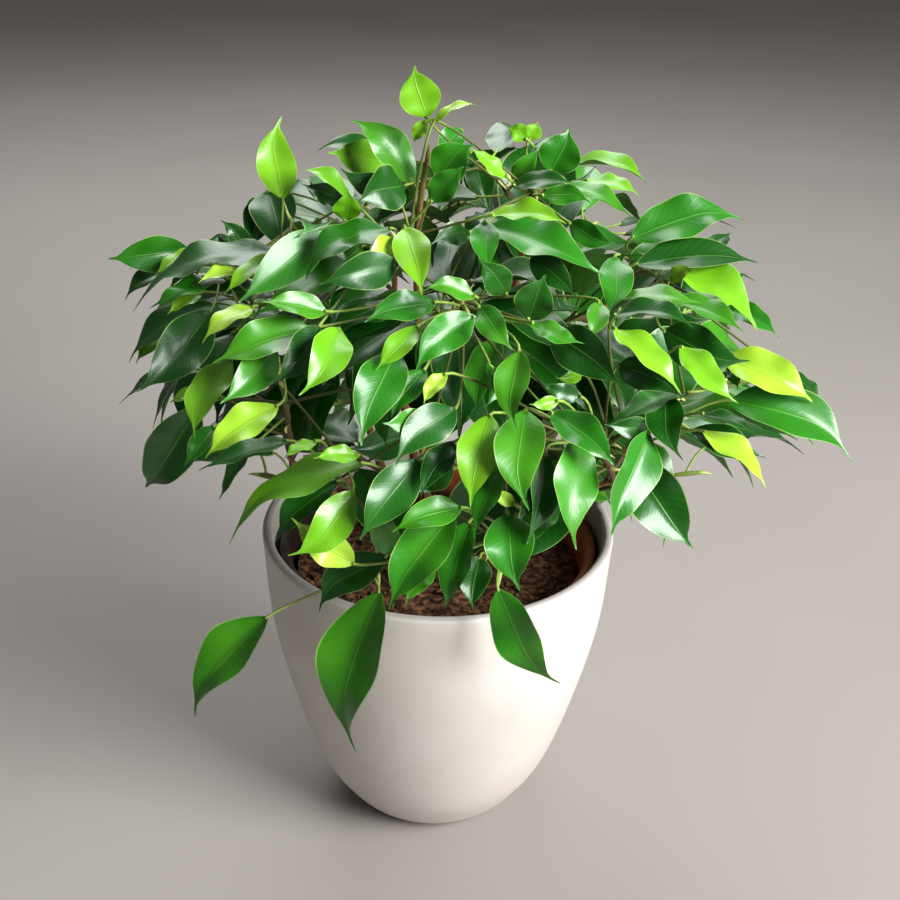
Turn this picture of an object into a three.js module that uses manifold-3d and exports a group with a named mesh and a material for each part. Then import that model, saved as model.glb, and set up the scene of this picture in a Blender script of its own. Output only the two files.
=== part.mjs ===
// Weeping fig (Ficus benjamina) in a nursery pot, stood inside a ceramic cover pot.
// Millimetres, +Z up, the origin at the centre of the cover pot's flat base.
import * as THREE from 'three';
import { mergeVertices } from 'three/addons/utils/BufferGeometryUtils.js';
import Module from 'manifold-3d';

const wasm = await Module();
wasm.setup();

// Cover pot
const POT_RIM_RADIUS = 68;
const POT_HEIGHT = 127;
const POT_WALL = 3.8;
const POT_FLOOR = 6;
const POT_SIDES = 30;
const POT_OUTLINE = [
  { radius: 30, z: 0 },
  { radius: 34, z: 2.5 },
  { radius: 40.4, z: 10 },
  { radius: 49, z: 25.5 },
  { radius: 57, z: 51 },
  { radius: 65.25, z: 89 },
  { radius: POT_RIM_RADIUS, z: POT_HEIGHT - POT_WALL / 2 },
];

// Nursery pot
const LINER_RIM_RADIUS = 61.5;
const LINER_RIM_HEIGHT = 6;
const LINER_TOP = 119;
const LINER_BOTTOM = 17;
const LINER_WALL = 1.6;
const LINER_UPPER_RADIUS = 59.4;
const DRAIN_RADIUS = 4;
const DRAIN_CIRCLE = 24;
const DRAIN_COUNT = 6;

// Soil
const SOIL_TOP = 105;
const SOIL_LUMP = 1.6;
const SEAT_GAP = 0.3;

// Woody stems
const STEM_SIDES = 5;
const STEM_FOOT_RADIUS = 2.5;
const STEM_TOP_RADIUS = 1.4;
const STEM_FOOT_Z = 70;

// Crown
const CROWN_CENTRE = new THREE.Vector3(18, 0, 185);
const CROWN_RADII = new THREE.Vector3(142, 128, 95);
const BASE_SHELL = 0.86;
const TIP_SHELL = 1;

// Green shoots
const SHOOT_COUNT = 48;
const BACK_ENDS = 90;
const BACK_SHELL = 0.8;
const INNER_SHELL = 0.5;
const SHOOT_SIDES = 4;
const SHOOT_ROOT_RADIUS = 1.6;
const SHOOT_TIP_RADIUS = 1;
const SHOOT_CLEARANCE = 0.7;

// Leaves
const LEAF_KEEL = 0.7;
const PETIOLE_RADIUS = 0.75;
const PETIOLE_ROOT_RADIUS = 0.5;
const LEAF_ASPECT = 0.42;
const LEAF_FOLD = 0.22;
const LEAF_CLEARANCE = 0.6;
const SEEN_STATIONS = [0.2, 0.45, 0.75];
const UNSEEN_STATIONS = [0.28, 0.64];
const UNSEEN_LEAVES = 165;
const LONGEST_PETIOLE = 52;
const SHORTEST_LEAF = 38;
const LONGEST_LEAF = 56;

// Leaf ages
const DARK = 'dark';
const MID = 'mid';
const YOUNG = 'young';
const PALE = 'pale';
const AGE_SHELL = { dark: 0.95, mid: 0.98, young: 1, pale: 1 };

// The plant is laid out along the lines of sight of one view of it, 900 units square:
// where the eye is, the point it looks at, how far the view leans, and its focal length.
const EYE = new THREE.Vector3(0, -437.4, 384.4);
const LOOK_AT = new THREE.Vector3(3.8, 0, 157.8);
const LEAN = 1.62;
const FOCAL = 1300;
const VIEW_CENTRE = 450;

const UP = new THREE.Vector3(0, 0, 1);
const DOWN_VIEW = LOOK_AT.clone().sub(EYE).normalize();
const LEVEL = DOWN_VIEW.clone().cross(UP).normalize();
const VIEW_RIGHT = LEVEL.clone().applyAxisAngle(DOWN_VIEW, -THREE.MathUtils.degToRad(LEAN));
const VIEW_UP = VIEW_RIGHT.clone().cross(DOWN_VIEW);

// The direction from the eye through the view point (x, y).
function sightLine([x, y]) {
  return DOWN_VIEW.clone().multiplyScalar(FOCAL)
    .addScaledVector(VIEW_RIGHT, x - VIEW_CENTRE)
    .addScaledVector(VIEW_UP, VIEW_CENTRE - y)
    .normalize();
}

// Where a point of the model is seen in the view.
function seenAt(point) {
  const offset = point.clone().sub(EYE);
  const depth = offset.dot(DOWN_VIEW);
  return [
    VIEW_CENTRE + FOCAL * offset.dot(VIEW_RIGHT) / depth,
    VIEW_CENTRE - FOCAL * offset.dot(VIEW_UP) / depth,
  ];
}

// The distance from the eye, along a line of sight, to the crown's ellipsoid at one size.
// A line that passes the ellipsoid by gives the distance where it is nearest to it.
function shellDistance(direction, size) {
  const radii = CROWN_RADII.clone().multiplyScalar(size);
  const from = EYE.clone().sub(CROWN_CENTRE).divide(radii);
  const along = direction.clone().divide(radii);
  const a = along.dot(along);
  const b = from.dot(along);
  const c = from.dot(from) - 1;
  return (-b - Math.sqrt(Math.max(b * b - a * c, 0))) / a;
}

// A repeatable stream of numbers between 0 and 1.
function seeded(seed) {
  let state = seed >>> 0;
  return () => {
    state = (state + 0x6d2b79f5) >>> 0;
    let mixed = Math.imul(state ^ (state >>> 15), state | 1);
    mixed = (mixed + Math.imul(mixed ^ (mixed >>> 7), mixed | 61)) ^ mixed;
    return ((mixed ^ (mixed >>> 14)) >>> 0) / 4294967296;
  };
}

// A closed body through a row of sections, ended by a flat cap or by a single point.
// The lower half of each band is split the mirrored way of the upper half, so that the
// two faces of a thin blade never cross.
function loft(sections, point) {
  const sides = sections[0].length;
  const positions = sections.flat().flatMap((corner) => corner.toArray());
  const index = [];
  for (let k = 1; k < sides - 1; k += 1) {
    index.push(0, k + 1, k);
  }
  for (let row = 0; row < sections.length - 1; row += 1) {
    for (let k = 0; k < sides; k += 1) {
      const a = row * sides + k;
      const b = row * sides + (k + 1) % sides;
      const c = a + sides;
      const d = b + sides;
      if (k < sides / 2) {
        index.push(a, b, d, a, d, c);
      } else {
        index.push(a, b, c, b, d, c);
      }
    }
  }
  const last = (sections.length - 1) * sides;
  if (point) {
    positions.push(...point.toArray());
    for (let k = 0; k < sides; k += 1) {
      index.push(last + k, last + (k + 1) % sides, last + sides);
    }
  } else {
    for (let k = 1; k < sides - 1; k += 1) {
      index.push(last, last + k, last + k + 1);
    }
  }
  const geometry = new THREE.BufferGeometry();
  geometry.setAttribute('position', new THREE.Float32BufferAttribute(positions, 3));
  geometry.setIndex(index);
  return geometry;
}

// A round rod along a row of points, its radius changing evenly between its two ends.
function rodSections(points, footRadius, topRadius, sides) {
  let across = new THREE.Vector3(1, 0, 0);
  return points.map((point, row) => {
    const before = points[Math.max(row - 1, 0)];
    const after = points[Math.min(row + 1, points.length - 1)];
    const along = after.clone().sub(before).normalize();
    across = across.clone().addScaledVector(along, -across.dot(along)).normalize();
    const second = along.clone().cross(across);
    const radius = footRadius + (topRadius - footRadius) * row / (points.length - 1);
    return Array.from({ length: sides }, (_, k) => {
      const turn = 2 * Math.PI * k / sides;
      return point.clone()
        .addScaledVector(across, radius * Math.cos(turn))
        .addScaledVector(second, radius * Math.sin(turn));
    });
  });
}

// The part of a vector that is square to a unit direction, at length 1.
function squareTo(vector, direction) {
  return vector.clone().addScaledVector(direction, -vector.dot(direction)).normalize();
}

// The width of a blade along its length, 1 at its widest: an egg shape drawn out to a
// drip tip.
function bladeWidth(t) {
  const widest = 0.85 / (0.85 + 1.25);
  const shape = (at) => Math.pow(at, 0.85) * Math.pow(1 - at, 1.25);
  return shape(t) / shape(widest);
}

// The centre line of a blade at t, with its direction, its side and its upper side.
function bladeFrame(leaf, t) {
  const axis = leaf.tip.clone().sub(leaf.base);
  const point = leaf.base.clone().addScaledVector(axis, t)
    .addScaledVector(leaf.normal, 4 * leaf.arch * t * (1 - t));
  const along = axis.clone().addScaledVector(leaf.normal, 4 * leaf.arch * (1 - 2 * t)).normalize();
  const level = axis.clone().cross(leaf.normal).normalize();
  const raised = level.clone().cross(along);
  const turn = leaf.twist * (t - 0.4);
  const side = level.clone().multiplyScalar(Math.cos(turn)).addScaledVector(raised, Math.sin(turn));
  return { point, along, side, upper: side.clone().cross(along) };
}

// The section of a blade or petiole: its left edge, its right edge and its keel below.
function keeled(point, side, upper, half, lift, drop) {
  return [
    point.clone().addScaledVector(side, -half).addScaledVector(upper, lift),
    point.clone().addScaledVector(side, half).addScaledVector(upper, lift),
    point.clone().addScaledVector(upper, -drop),
  ];
}

// A section that holds the keeled one with room to spare all round.
function roomy(point, side, upper, half, lift, drop) {
  return [
    point.clone().addScaledVector(side, -half - LEAF_CLEARANCE).addScaledVector(upper, lift),
    point.clone().addScaledVector(upper, lift + LEAF_CLEARANCE),
    point.clone().addScaledVector(side, half + LEAF_CLEARANCE).addScaledVector(upper, lift),
    point.clone().addScaledVector(upper, -drop - LEAF_CLEARANCE),
  ];
}

// A leaf as one closed body: a petiole from its root in the shoot, then the arched blade.
// from leaves out the first part of the petiole.
function leafGeometry(leaf, section = keeled, from = 0) {
  const root = leaf.root.clone().lerp(leaf.base, from);
  const start = bladeFrame(leaf, 0);
  const reach = leaf.base.clone().sub(leaf.root).normalize();
  const rod = (point, direction, radius) => {
    const side = squareTo(start.side, direction);
    return section(point, side, side.clone().cross(direction), radius, radius / 2, radius);
  };
  const sections = [
    rod(root, reach, PETIOLE_ROOT_RADIUS),
    rod(leaf.base, reach.clone().add(start.along).normalize(), PETIOLE_RADIUS),
  ];
  for (const t of leaf.stations) {
    const { point, side, upper } = bladeFrame(leaf, t);
    const half = leaf.width * bladeWidth(t) / 2;
    const lift = LEAF_FOLD * half / 2;
    sections.push(section(point, side, upper, half, lift, Math.max(lift, LEAF_KEEL)));
  }
  return loft(sections, leaf.tip);
}

// The triangles of a geometry, nine numbers each.
function trianglesOf(geometry) {
  const flat = geometry.toNonIndexed().attributes.position.array;
  return Array.from({ length: flat.length / 9 }, (_, k) => flat.slice(9 * k, 9 * k + 9));
}

function boxOf(triangles) {
  const box = new THREE.Box3();
  const corner = new THREE.Vector3();
  for (const triangle of triangles) {
    for (let k = 0; k < 9; k += 3) {
      box.expandByPoint(corner.fromArray(triangle, k));
    }
  }
  return box;
}

// Whether the segment from corner i to corner j of one triangle passes through another.
function pierces(edge, i, j, face) {
  const ox = edge[i] - face[0];
  const oy = edge[i + 1] - face[1];
  const oz = edge[i + 2] - face[2];
  const dx = edge[j] - edge[i];
  const dy = edge[j + 1] - edge[i + 1];
  const dz = edge[j + 2] - edge[i + 2];
  const ax = face[3] - face[0];
  const ay = face[4] - face[1];
  const az = face[5] - face[2];
  const bx = face[6] - face[0];
  const by = face[7] - face[1];
  const bz = face[8] - face[2];
  const px = dy * bz - dz * by;
  const py = dz * bx - dx * bz;
  const pz = dx * by - dy * bx;
  const det = ax * px + ay * py + az * pz;
  if (Math.abs(det) < 1e-9) {
    return false;
  }
  const u = (ox * px + oy * py + oz * pz) / det;
  const qx = oy * az - oz * ay;
  const qy = oz * ax - ox * az;
  const qz = ox * ay - oy * ax;
  const v = (dx * qx + dy * qy + dz * qz) / det;
  const t = (bx * qx + by * qy + bz * qz) / det;
  return u >= 0 && v >= 0 && u + v <= 1 && t >= 0 && t <= 1;
}

function anyCross(first, second) {
  return first.some((a) => second.some((b) => (
    pierces(a, 0, 3, b) || pierces(a, 3, 6, b) || pierces(a, 6, 0, b)
    || pierces(b, 0, 3, a) || pierces(b, 3, 6, a) || pierces(b, 6, 0, a)
  )));
}

// What already stands in the crown, each piece with the shoot that it belongs to.
const placed = [];

function place(owner, geometry) {
  const triangles = trianglesOf(geometry);
  placed.push({ owner, triangles, box: boxOf(triangles) });
}

// Whether a swollen copy of a new piece passes through a placed piece that wanted() picks.
function isBlocked(geometry, wanted) {
  const triangles = trianglesOf(geometry);
  const box = boxOf(triangles);
  return placed.some((piece) => (
    wanted(piece.owner) && piece.box.intersectsBox(box) && anyCross(triangles, piece.triangles)
  ));
}

function potRadius(z) {
  const above = POT_OUTLINE.findIndex((ring) => ring.z >= z);
  if (above < 1) {
    return above < 0 ? POT_RIM_RADIUS : POT_OUTLINE[0].radius;
  }
  const low = POT_OUTLINE[above - 1];
  const high = POT_OUTLINE[above];
  return low.radius + (high.radius - low.radius) * (z - low.z) / (high.z - low.z);
}

// Whether a swollen piece reaches into the pots, the soil or the surface below the plant.
const POT_REACH = 1.5;
function meetsPots(geometry) {
  const { array } = geometry.attributes.position;
  for (let k = 0; k < array.length; k += 3) {
    const radius = Math.hypot(array[k], array[k + 1]);
    const z = array[k + 2];
    const inWall = radius < potRadius(z) + POT_REACH && z < POT_HEIGHT + POT_REACH;
    const overSoil = radius < LINER_UPPER_RADIUS - 4 && z > SOIL_TOP + 3;
    if (inWall && !overSoil) {
      return true;
    }
  }
  return false;
}

// Woody stems, from their lower end in the soil to their top in the crown.
const at = (x, y, z) => new THREE.Vector3(x, y, z);
const STEMS = [
  [at(-3, 8, 106), at(-6, 6, 150), at(-9, 2, 205), at(-9.5, 0, 245), at(-6, 0, 274)],
  [at(-13, 9, 106), at(-26, 22, 148), at(-40, 24, 192), at(-52, 10, 232)],
  [at(14, 4, 106), at(27, 4, 148), at(44, 0, 190), at(59, -2, 220), at(78, 0, 240)],
  [at(5, 18, 106), at(14, 22, 150), at(22, 16, 196), at(27, 4, 232), at(28, 0, 262)],
  [at(-8, -12, 106), at(-20, -26, 138), at(-38, -48, 166), at(-50, -62, 186)],
  [at(10, -13, 106), at(22, -28, 138), at(40, -50, 166), at(60, -64, 182)],
  [at(-4, 30, 106), at(-14, 46, 148), at(-20, 66, 186), at(-20, 82, 214)],
];

function stemLine(bends) {
  const foot = bends[0].clone().setZ(STEM_FOOT_Z);
  const curve = new THREE.CatmullRomCurve3(bends, false, 'catmullrom', 0.5);
  return [foot, ...curve.getPoints(6)];
}

const stemLines = STEMS.map(stemLine);

function stemGeometry(line, grow = 0) {
  const sections = rodSections(line, STEM_FOOT_RADIUS + grow, STEM_TOP_RADIUS + grow, STEM_SIDES);
  sections[0] = sections[0].map((corner) => corner.clone().setZ(STEM_FOOT_Z - grow));
  return loft(sections, null);
}

stemLines.forEach((line, k) => place(`stem ${k}`, stemGeometry(line)));

// Leaves that the view shows: where each blade starts and where its tip ends in the view,
// and how wide it looks there. front sets a leaf that hangs clear of the pot, or stands
// above the crown, at that y.
const SEEN_LEAVES = [
  { base: [283, 200], tip: [274, 115], wide: 38, front: 0, age: YOUNG },
  { base: [268, 190], tip: [282, 252], wide: 45, age: DARK },
  { base: [250, 252], tip: [222, 218], wide: 20, age: DARK },
  { base: [250, 250], tip: [197, 244], wide: 16, age: DARK },
  { base: [190, 250], tip: [107, 260], wide: 35, age: MID },
  { base: [165, 255], tip: [127, 265], wide: 12, age: YOUNG },
  { base: [205, 252], tip: [151, 274], wide: 14, age: YOUNG },
  { base: [280, 252], tip: [124, 298], wide: 25, age: DARK },
  { base: [428, 119], tip: [411, 65], wide: 40, front: 0, age: YOUNG },
  { base: [433, 122], tip: [477, 99], wide: 8, front: 0, age: PALE },
  { base: [427, 119], tip: [412, 144], wide: 14, front: 0, age: YOUNG },
  { base: [415, 184], tip: [352, 111], wide: 35, front: 4, age: MID },
  { base: [385, 155], tip: [316, 141], wide: 20, age: DARK },
  { base: [385, 165], tip: [330, 150], wide: 36, age: YOUNG },
  { base: [350, 197], tip: [304, 163], wide: 14, age: YOUNG },
  { base: [345, 200], tip: [302, 185], wide: 22, age: DARK },
  { base: [405, 185], tip: [355, 200], wide: 45, age: DARK },
  { base: [345, 222], tip: [349, 190], wide: 28, age: YOUNG },
  { base: [437, 178], tip: [471, 140], wide: 40, age: MID },
  { base: [430, 203], tip: [462, 165], wide: 28, age: MID },
  { base: [508, 178], tip: [471, 147], wide: 15, age: YOUNG },
  { base: [470, 150], tip: [490, 215], wide: 28, age: DARK },
  { base: [392, 228], tip: [295, 268], wide: 30, age: DARK },
  { base: [328, 230], tip: [238, 303], wide: 50, age: MID },
  { base: [405, 226], tip: [423, 293], wide: 38, age: YOUNG },
  { base: [395, 232], tip: [407, 213], wide: 16, age: YOUNG },
  { base: [395, 238], tip: [368, 262], wide: 25, age: PALE },
  { base: [484, 220], tip: [488, 270], wide: 32, age: MID },
  { base: [490, 215], tip: [568, 218], wide: 18, age: YOUNG },
  { base: [485, 225], tip: [605, 268], wide: 38, age: MID },
  { base: [528, 140], tip: [507, 125], wide: 18, front: 8, age: YOUNG },
  { base: [528, 140], tip: [539, 121], wide: 18, front: 8, age: YOUNG },
  { base: [550, 173], tip: [572, 128], wide: 42, front: 8, age: MID },
  { base: [512, 182], tip: [540, 148], wide: 20, age: MID },
  { base: [512, 186], tip: [575, 180], wide: 18, age: DARK },
  { base: [563, 184], tip: [633, 216], wide: 16, age: MID },
  { base: [573, 163], tip: [650, 178], wide: 14, age: YOUNG },
  { base: [585, 180], tip: [642, 192], wide: 15, age: YOUNG },
  { base: [540, 195], tip: [592, 198], wide: 20, age: MID },
  { base: [568, 222], tip: [615, 248], wide: 24, age: MID },
  { base: [630, 238], tip: [745, 206], wide: 42, age: MID },
  { base: [634, 264], tip: [760, 259], wide: 36, age: DARK },
  { base: [660, 257], tip: [766, 322], wide: 35, age: YOUNG },
  { base: [690, 268], tip: [743, 322], wide: 14, age: YOUNG },
  { base: [668, 280], tip: [695, 267], wide: 16, age: PALE },
  { base: [615, 255], tip: [611, 317], wide: 34, age: MID },
  { base: [617, 298], tip: [703, 302], wide: 16, age: MID },
  { base: [612, 315], tip: [698, 320], wide: 18, age: DARK },
  { base: [668, 300], tip: [746, 330], wide: 20, age: MID },
  { base: [722, 308], tip: [782, 335], wide: 22, age: MID },
  { base: [662, 330], tip: [748, 368], wide: 45, age: DARK },
  { base: [680, 345], tip: [735, 405], wide: 28, age: YOUNG },
  { base: [722, 357], tip: [820, 400], wide: 38, age: PALE },
  { base: [780, 368], tip: [825, 403], wide: 12, age: DARK },
  { base: [728, 400], tip: [857, 450], wide: 48, age: MID },
  { base: [700, 413], tip: [757, 431], wide: 12, age: DARK },
  { base: [727, 366], tip: [740, 388], wide: 16, age: MID },
  { base: [702, 430], tip: [772, 484], wide: 24, age: PALE },
  { base: [690, 430], tip: [766, 459], wide: 28, age: DARK },
  { base: [665, 395], tip: [674, 458], wide: 38, age: DARK },
  { base: [690, 392], tip: [604, 427], wide: 18, age: MID },
  { base: [617, 365], tip: [685, 393], wide: 34, age: DARK },
  { base: [613, 328], tip: [684, 392], wide: 26, age: YOUNG },
  { base: [280, 254], tip: [222, 292], wide: 18, age: YOUNG },
  { base: [255, 306], tip: [199, 341], wide: 18, age: PALE },
  { base: [313, 328], tip: [211, 363], wide: 38, age: MID },
  { base: [328, 312], tip: [262, 300], wide: 25, age: MID },
  { base: [231, 358], tip: [186, 435], wide: 33, age: YOUNG },
  { base: [278, 348], tip: [223, 405], wide: 40, age: MID },
  { base: [279, 405], tip: [201, 457], wide: 34, age: PALE },
  { base: [200, 405], tip: [141, 495], wide: 50, age: DARK },
  { base: [215, 425], tip: [184, 467], wide: 20, age: MID },
  { base: [212, 310], tip: [141, 395], wide: 48, age: DARK },
  { base: [215, 303], tip: [124, 357], wide: 25, age: DARK },
  { base: [168, 328], tip: [133, 362], wide: 18, age: YOUNG },
  { base: [205, 370], tip: [119, 397], wide: 16, age: DARK },
  { base: [197, 388], tip: [169, 403], wide: 12, age: YOUNG },
  { base: [228, 278], tip: [147, 307], wide: 16, age: MID },
  { base: [240, 272], tip: [197, 281], wide: 12, age: PALE },
  { base: [203, 292], tip: [166, 313], wide: 14, age: YOUNG },
  { base: [320, 325], tip: [276, 388], wide: 35, age: DARK },
  { base: [290, 440], tip: [196, 469], wide: 18, age: DARK },
  { base: [250, 448], tip: [220, 500], wide: 14, age: DARK },
  { base: [340, 327], tip: [307, 395], wide: 40, age: YOUNG },
  { base: [420, 325], tip: [376, 370], wide: 25, age: YOUNG },
  { base: [437, 302], tip: [363, 318], wide: 30, age: MID },
  { base: [475, 315], tip: [411, 367], wide: 38, age: MID },
  { base: [398, 348], tip: [357, 443], wide: 48, age: MID },
  { base: [380, 392], tip: [384, 447], wide: 20, age: MID },
  { base: [426, 368], tip: [386, 420], wide: 28, age: MID },
  { base: [428, 420], tip: [385, 425], wide: 28, age: MID },
  { base: [447, 372], tip: [421, 404], wide: 17, age: PALE },
  { base: [400, 265], tip: [320, 283], wide: 38, age: DARK },
  { base: [362, 245], tip: [345, 266], wide: 22, age: MID },
  { base: [477, 297], tip: [425, 283], wide: 20, age: MID },
  { base: [478, 305], tip: [512, 350], wide: 28, age: MID },
  { base: [500, 335], tip: [471, 413], wide: 30, age: MID },
  { base: [488, 360], tip: [490, 411], wide: 14, age: MID },
  { base: [520, 348], tip: [508, 428], wide: 34, age: MID },
  { base: [528, 321], tip: [545, 274], wide: 40, age: DARK },
  { base: [508, 295], tip: [480, 258], wide: 30, age: DARK },
  { base: [530, 255], tip: [577, 295], wide: 30, age: DARK },
  { base: [600, 300], tip: [591, 340], wide: 22, age: MID },
  { base: [530, 322], tip: [583, 346], wide: 20, age: MID },
  { base: [550, 330], tip: [622, 385], wide: 45, age: DARK },
  { base: [583, 397], tip: [540, 385], wide: 20, age: DARK },
  { base: [583, 372], tip: [558, 380], wide: 14, age: YOUNG },
  { base: [560, 400], tip: [530, 406], wide: 14, age: YOUNG },
  { base: [550, 412], tip: [618, 467], wide: 34, age: MID },
  { base: [505, 395], tip: [493, 362], wide: 12, age: PALE },
  { base: [490, 413], tip: [469, 508], wide: 42, age: YOUNG },
  { base: [525, 408], tip: [519, 510], wide: 50, age: MID },
  { base: [503, 455], tip: [471, 535], wide: 30, age: MID },
  { base: [420, 458], tip: [358, 540], wide: 45, age: DARK },
  { base: [365, 462], tip: [219, 527], wide: 30, age: YOUNG },
  { base: [360, 455], tip: [313, 457], wide: 18, age: YOUNG },
  { base: [318, 440], tip: [280, 456], wide: 12, age: YOUNG },
  { base: [358, 492], tip: [317, 438], wide: 14, age: MID },
  { base: [355, 490], tip: [296, 564], wide: 40, age: YOUNG },
  { base: [355, 565], tip: [290, 519], wide: 34, age: PALE },
  { base: [340, 480], tip: [270, 540], wide: 30, age: DARK },
  { base: [388, 556], tip: [310, 605], wide: 38, age: DARK },
  { base: [390, 556], tip: [378, 500], wide: 28, age: MID },
  { base: [455, 510], tip: [384, 608], wide: 50, age: MID },
  { base: [463, 507], tip: [391, 530], wide: 30, age: MID },
  { base: [455, 440], tip: [418, 495], wide: 28, age: DARK },
  { base: [457, 408], tip: [390, 460], wide: 40, age: DARK },
  { base: [470, 520], tip: [444, 612], wide: 34, age: MID },
  { base: [435, 565], tip: [402, 604], wide: 22, age: MID },
  { base: [480, 555], tip: [470, 610], wide: 32, age: DARK },
  { base: [516, 505], tip: [490, 490], wide: 14, age: PALE },
  { base: [508, 512], tip: [515, 592], wide: 50, age: MID },
  { base: [560, 500], tip: [508, 551], wide: 28, age: MID },
  { base: [545, 450], tip: [530, 545], wide: 28, age: DARK },
  { base: [526, 480], tip: [528, 520], wide: 14, age: DARK },
  { base: [580, 435], tip: [569, 548], wide: 42, age: MID },
  { base: [650, 430], tip: [606, 535], wide: 40, age: MID },
  { base: [630, 460], tip: [694, 552], wide: 55, age: DARK },
  { base: [650, 430], tip: [605, 425], wide: 25, age: DARK },
  { base: [268, 616], tip: [180, 712], wide: 46, front: -80, age: MID },
  { base: [380, 590], tip: [337, 751], wide: 62, front: -76, age: MID },
  { base: [497, 588], tip: [550, 692], wide: 45, front: -76, age: MID },
];

// Leaves in the shade behind those, which close the view into the crown.
const SHADED_LEAVES = [
  { base: [404, 436], tip: [350, 452], wide: 36, age: DARK },
  { base: [270, 197], tip: [247, 250], wide: 34, age: DARK },
  { base: [454, 468], tip: [406, 492], wide: 28, age: DARK },
  { base: [396, 196], tip: [338, 172], wide: 24, age: DARK },
  { base: [470, 232], tip: [430, 240], wide: 24, age: DARK },
  { base: [172, 272], tip: [121, 297], wide: 16, age: DARK },
  { base: [462, 128], tip: [436, 160], wide: 24, age: MID },
];

// Places in the view, at the edge of the crown or within it, where nothing stands.
const CLEAR_VIEWS = [
  [[658, 441], [690, 447], [746, 480], [742, 515], [704, 517], [668, 478]],
  [[742, 336], [790, 342], [828, 392], [806, 394], [746, 352]],
  [[152, 496], [166, 470], [212, 472], [220, 502], [180, 506]],
  [[224, 500], [236, 466], [284, 456], [284, 480], [242, 508]],
  [[248, 502], [290, 496], [290, 552], [258, 560]],
  [[590, 202], [620, 200], [616, 243], [600, 240]],
  [[624, 182], [655, 180], [660, 206], [636, 204]],
  [[548, 526], [588, 524], [584, 572], [550, 594]],
  [[688, 281], [726, 280], [724, 300], [690, 300]],
];

// The outline of the crown in the view.
const OUTLINE = [
  [106, 262], [150, 243], [238, 222], [262, 165], [275, 118], [300, 150], [330, 128], [375, 110],
  [405, 70], [435, 75], [472, 125], [520, 120], [575, 130], [602, 155], [645, 175], [652, 200],
  [700, 188], [745, 205], [755, 260], [770, 325], [818, 392], [856, 447], [770, 440], [765, 482],
  [698, 470], [690, 548], [610, 520], [590, 600], [450, 612], [330, 600], [262, 545], [222, 522],
  [142, 492], [148, 430], [120, 396], [128, 340],
];

function isInside([x, y], polygon) {
  let inside = false;
  polygon.forEach(([ax, ay], k) => {
    const [bx, by] = polygon[(k + 1) % polygon.length];
    if ((ay > y) !== (by > y) && x < ax + (bx - ax) * (y - ay) / (by - ay)) {
      inside = !inside;
    }
  });
  return inside;
}

function planeDistance(direction, y) {
  return (y - EYE.y) / direction.y;
}

// A seen leaf in space. Its base lies on the crown's inner shell and its tip towards the
// outer one, no more foreshortened than its width in the view allows, and it is rolled
// about its length until it looks as wide as it does in the view.
function seenLeaf({ base, tip, wide, age, front }, deeper, number) {
  const toBase = sightLine(base);
  const toTip = sightLine(tip);
  const shell = AGE_SHELL[age];
  const baseDistance = deeper + (front === undefined
    ? shellDistance(toBase, BASE_SHELL * shell) : planeDistance(toBase, front));
  const wanted = deeper + (front === undefined
    ? shellDistance(toTip, TIP_SHELL * shell) : planeDistance(toTip, front + 2));
  const basePoint = EYE.clone().addScaledVector(toBase, baseDistance);
  const foot = toTip.dot(basePoint.clone().sub(EYE));
  const across = EYE.clone().addScaledVector(toTip, foot).distanceTo(basePoint);
  const seenWidth = wide * baseDistance / FOCAL;
  const length = THREE.MathUtils.clamp(seenWidth / LEAF_ASPECT, 1.05 * across, 1.32 * across);
  const depth = Math.sqrt(length * length - across * across);
  const tipDistance = foot + THREE.MathUtils.clamp(wanted - foot, -depth, depth);
  const tipPoint = EYE.clone().addScaledVector(toTip, tipDistance);
  const axis = tipPoint.clone().sub(basePoint).normalize();
  const middle = basePoint.clone().lerp(tipPoint, 0.5);
  const facing = squareTo(EYE.clone().sub(middle).normalize(), axis);
  const outward = middle.clone().sub(CROWN_CENTRE).divide(CROWN_RADII).normalize();
  const settled = squareTo(outward.addScaledVector(UP, 0.8), axis);
  const trueLength = tipPoint.distanceTo(basePoint);
  const width = THREE.MathUtils.clamp(LEAF_ASPECT * trueLength, seenWidth, seenWidth / 0.42);
  const roll = Math.acos(Math.min(seenWidth / width, 1));
  const over = axis.clone().cross(facing);
  const sense = over.dot(settled) < 0 ? -1 : 1;
  const normal = facing.multiplyScalar(Math.cos(roll)).addScaledVector(over, sense * Math.sin(roll));
  const random = seeded(1000 + number);
  return {
    base: basePoint,
    tip: tipPoint,
    normal,
    width,
    arch: trueLength * (0.05 + 0.07 * random()),
    twist: 0.4 * (random() - 0.5),
    age,
    stations: SEEN_STATIONS,
  };
}

// Ends for shoots inside the crown and at its sides and back, spread evenly over it.
const GOLDEN_ANGLE = Math.PI * (3 - Math.sqrt(5));
const TO_EYE = EYE.clone().sub(CROWN_CENTRE).normalize();

function crownDirection(k) {
  const height = 0.96 - 1.35 * (k + 0.5) / BACK_ENDS;
  const level = Math.sqrt(1 - height * height);
  const around = k * GOLDEN_ANGLE;
  return at(level * Math.cos(around), level * Math.sin(around), height);
}

const crownPoint = (k, size) => (
  crownDirection(k).multiply(CROWN_RADII).multiplyScalar(size).add(CROWN_CENTRE));
const ruleEnds = Array.from({ length: BACK_ENDS }, (_, k) => k).flatMap((k) => (
  crownDirection(k).dot(TO_EYE) < 0.25
    ? [crownPoint(k, BACK_SHELL), crownPoint(k, INNER_SHELL)] : [crownPoint(k, INNER_SHELL)]))
  .filter((end) => isInside(seenAt(end), OUTLINE));

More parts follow.
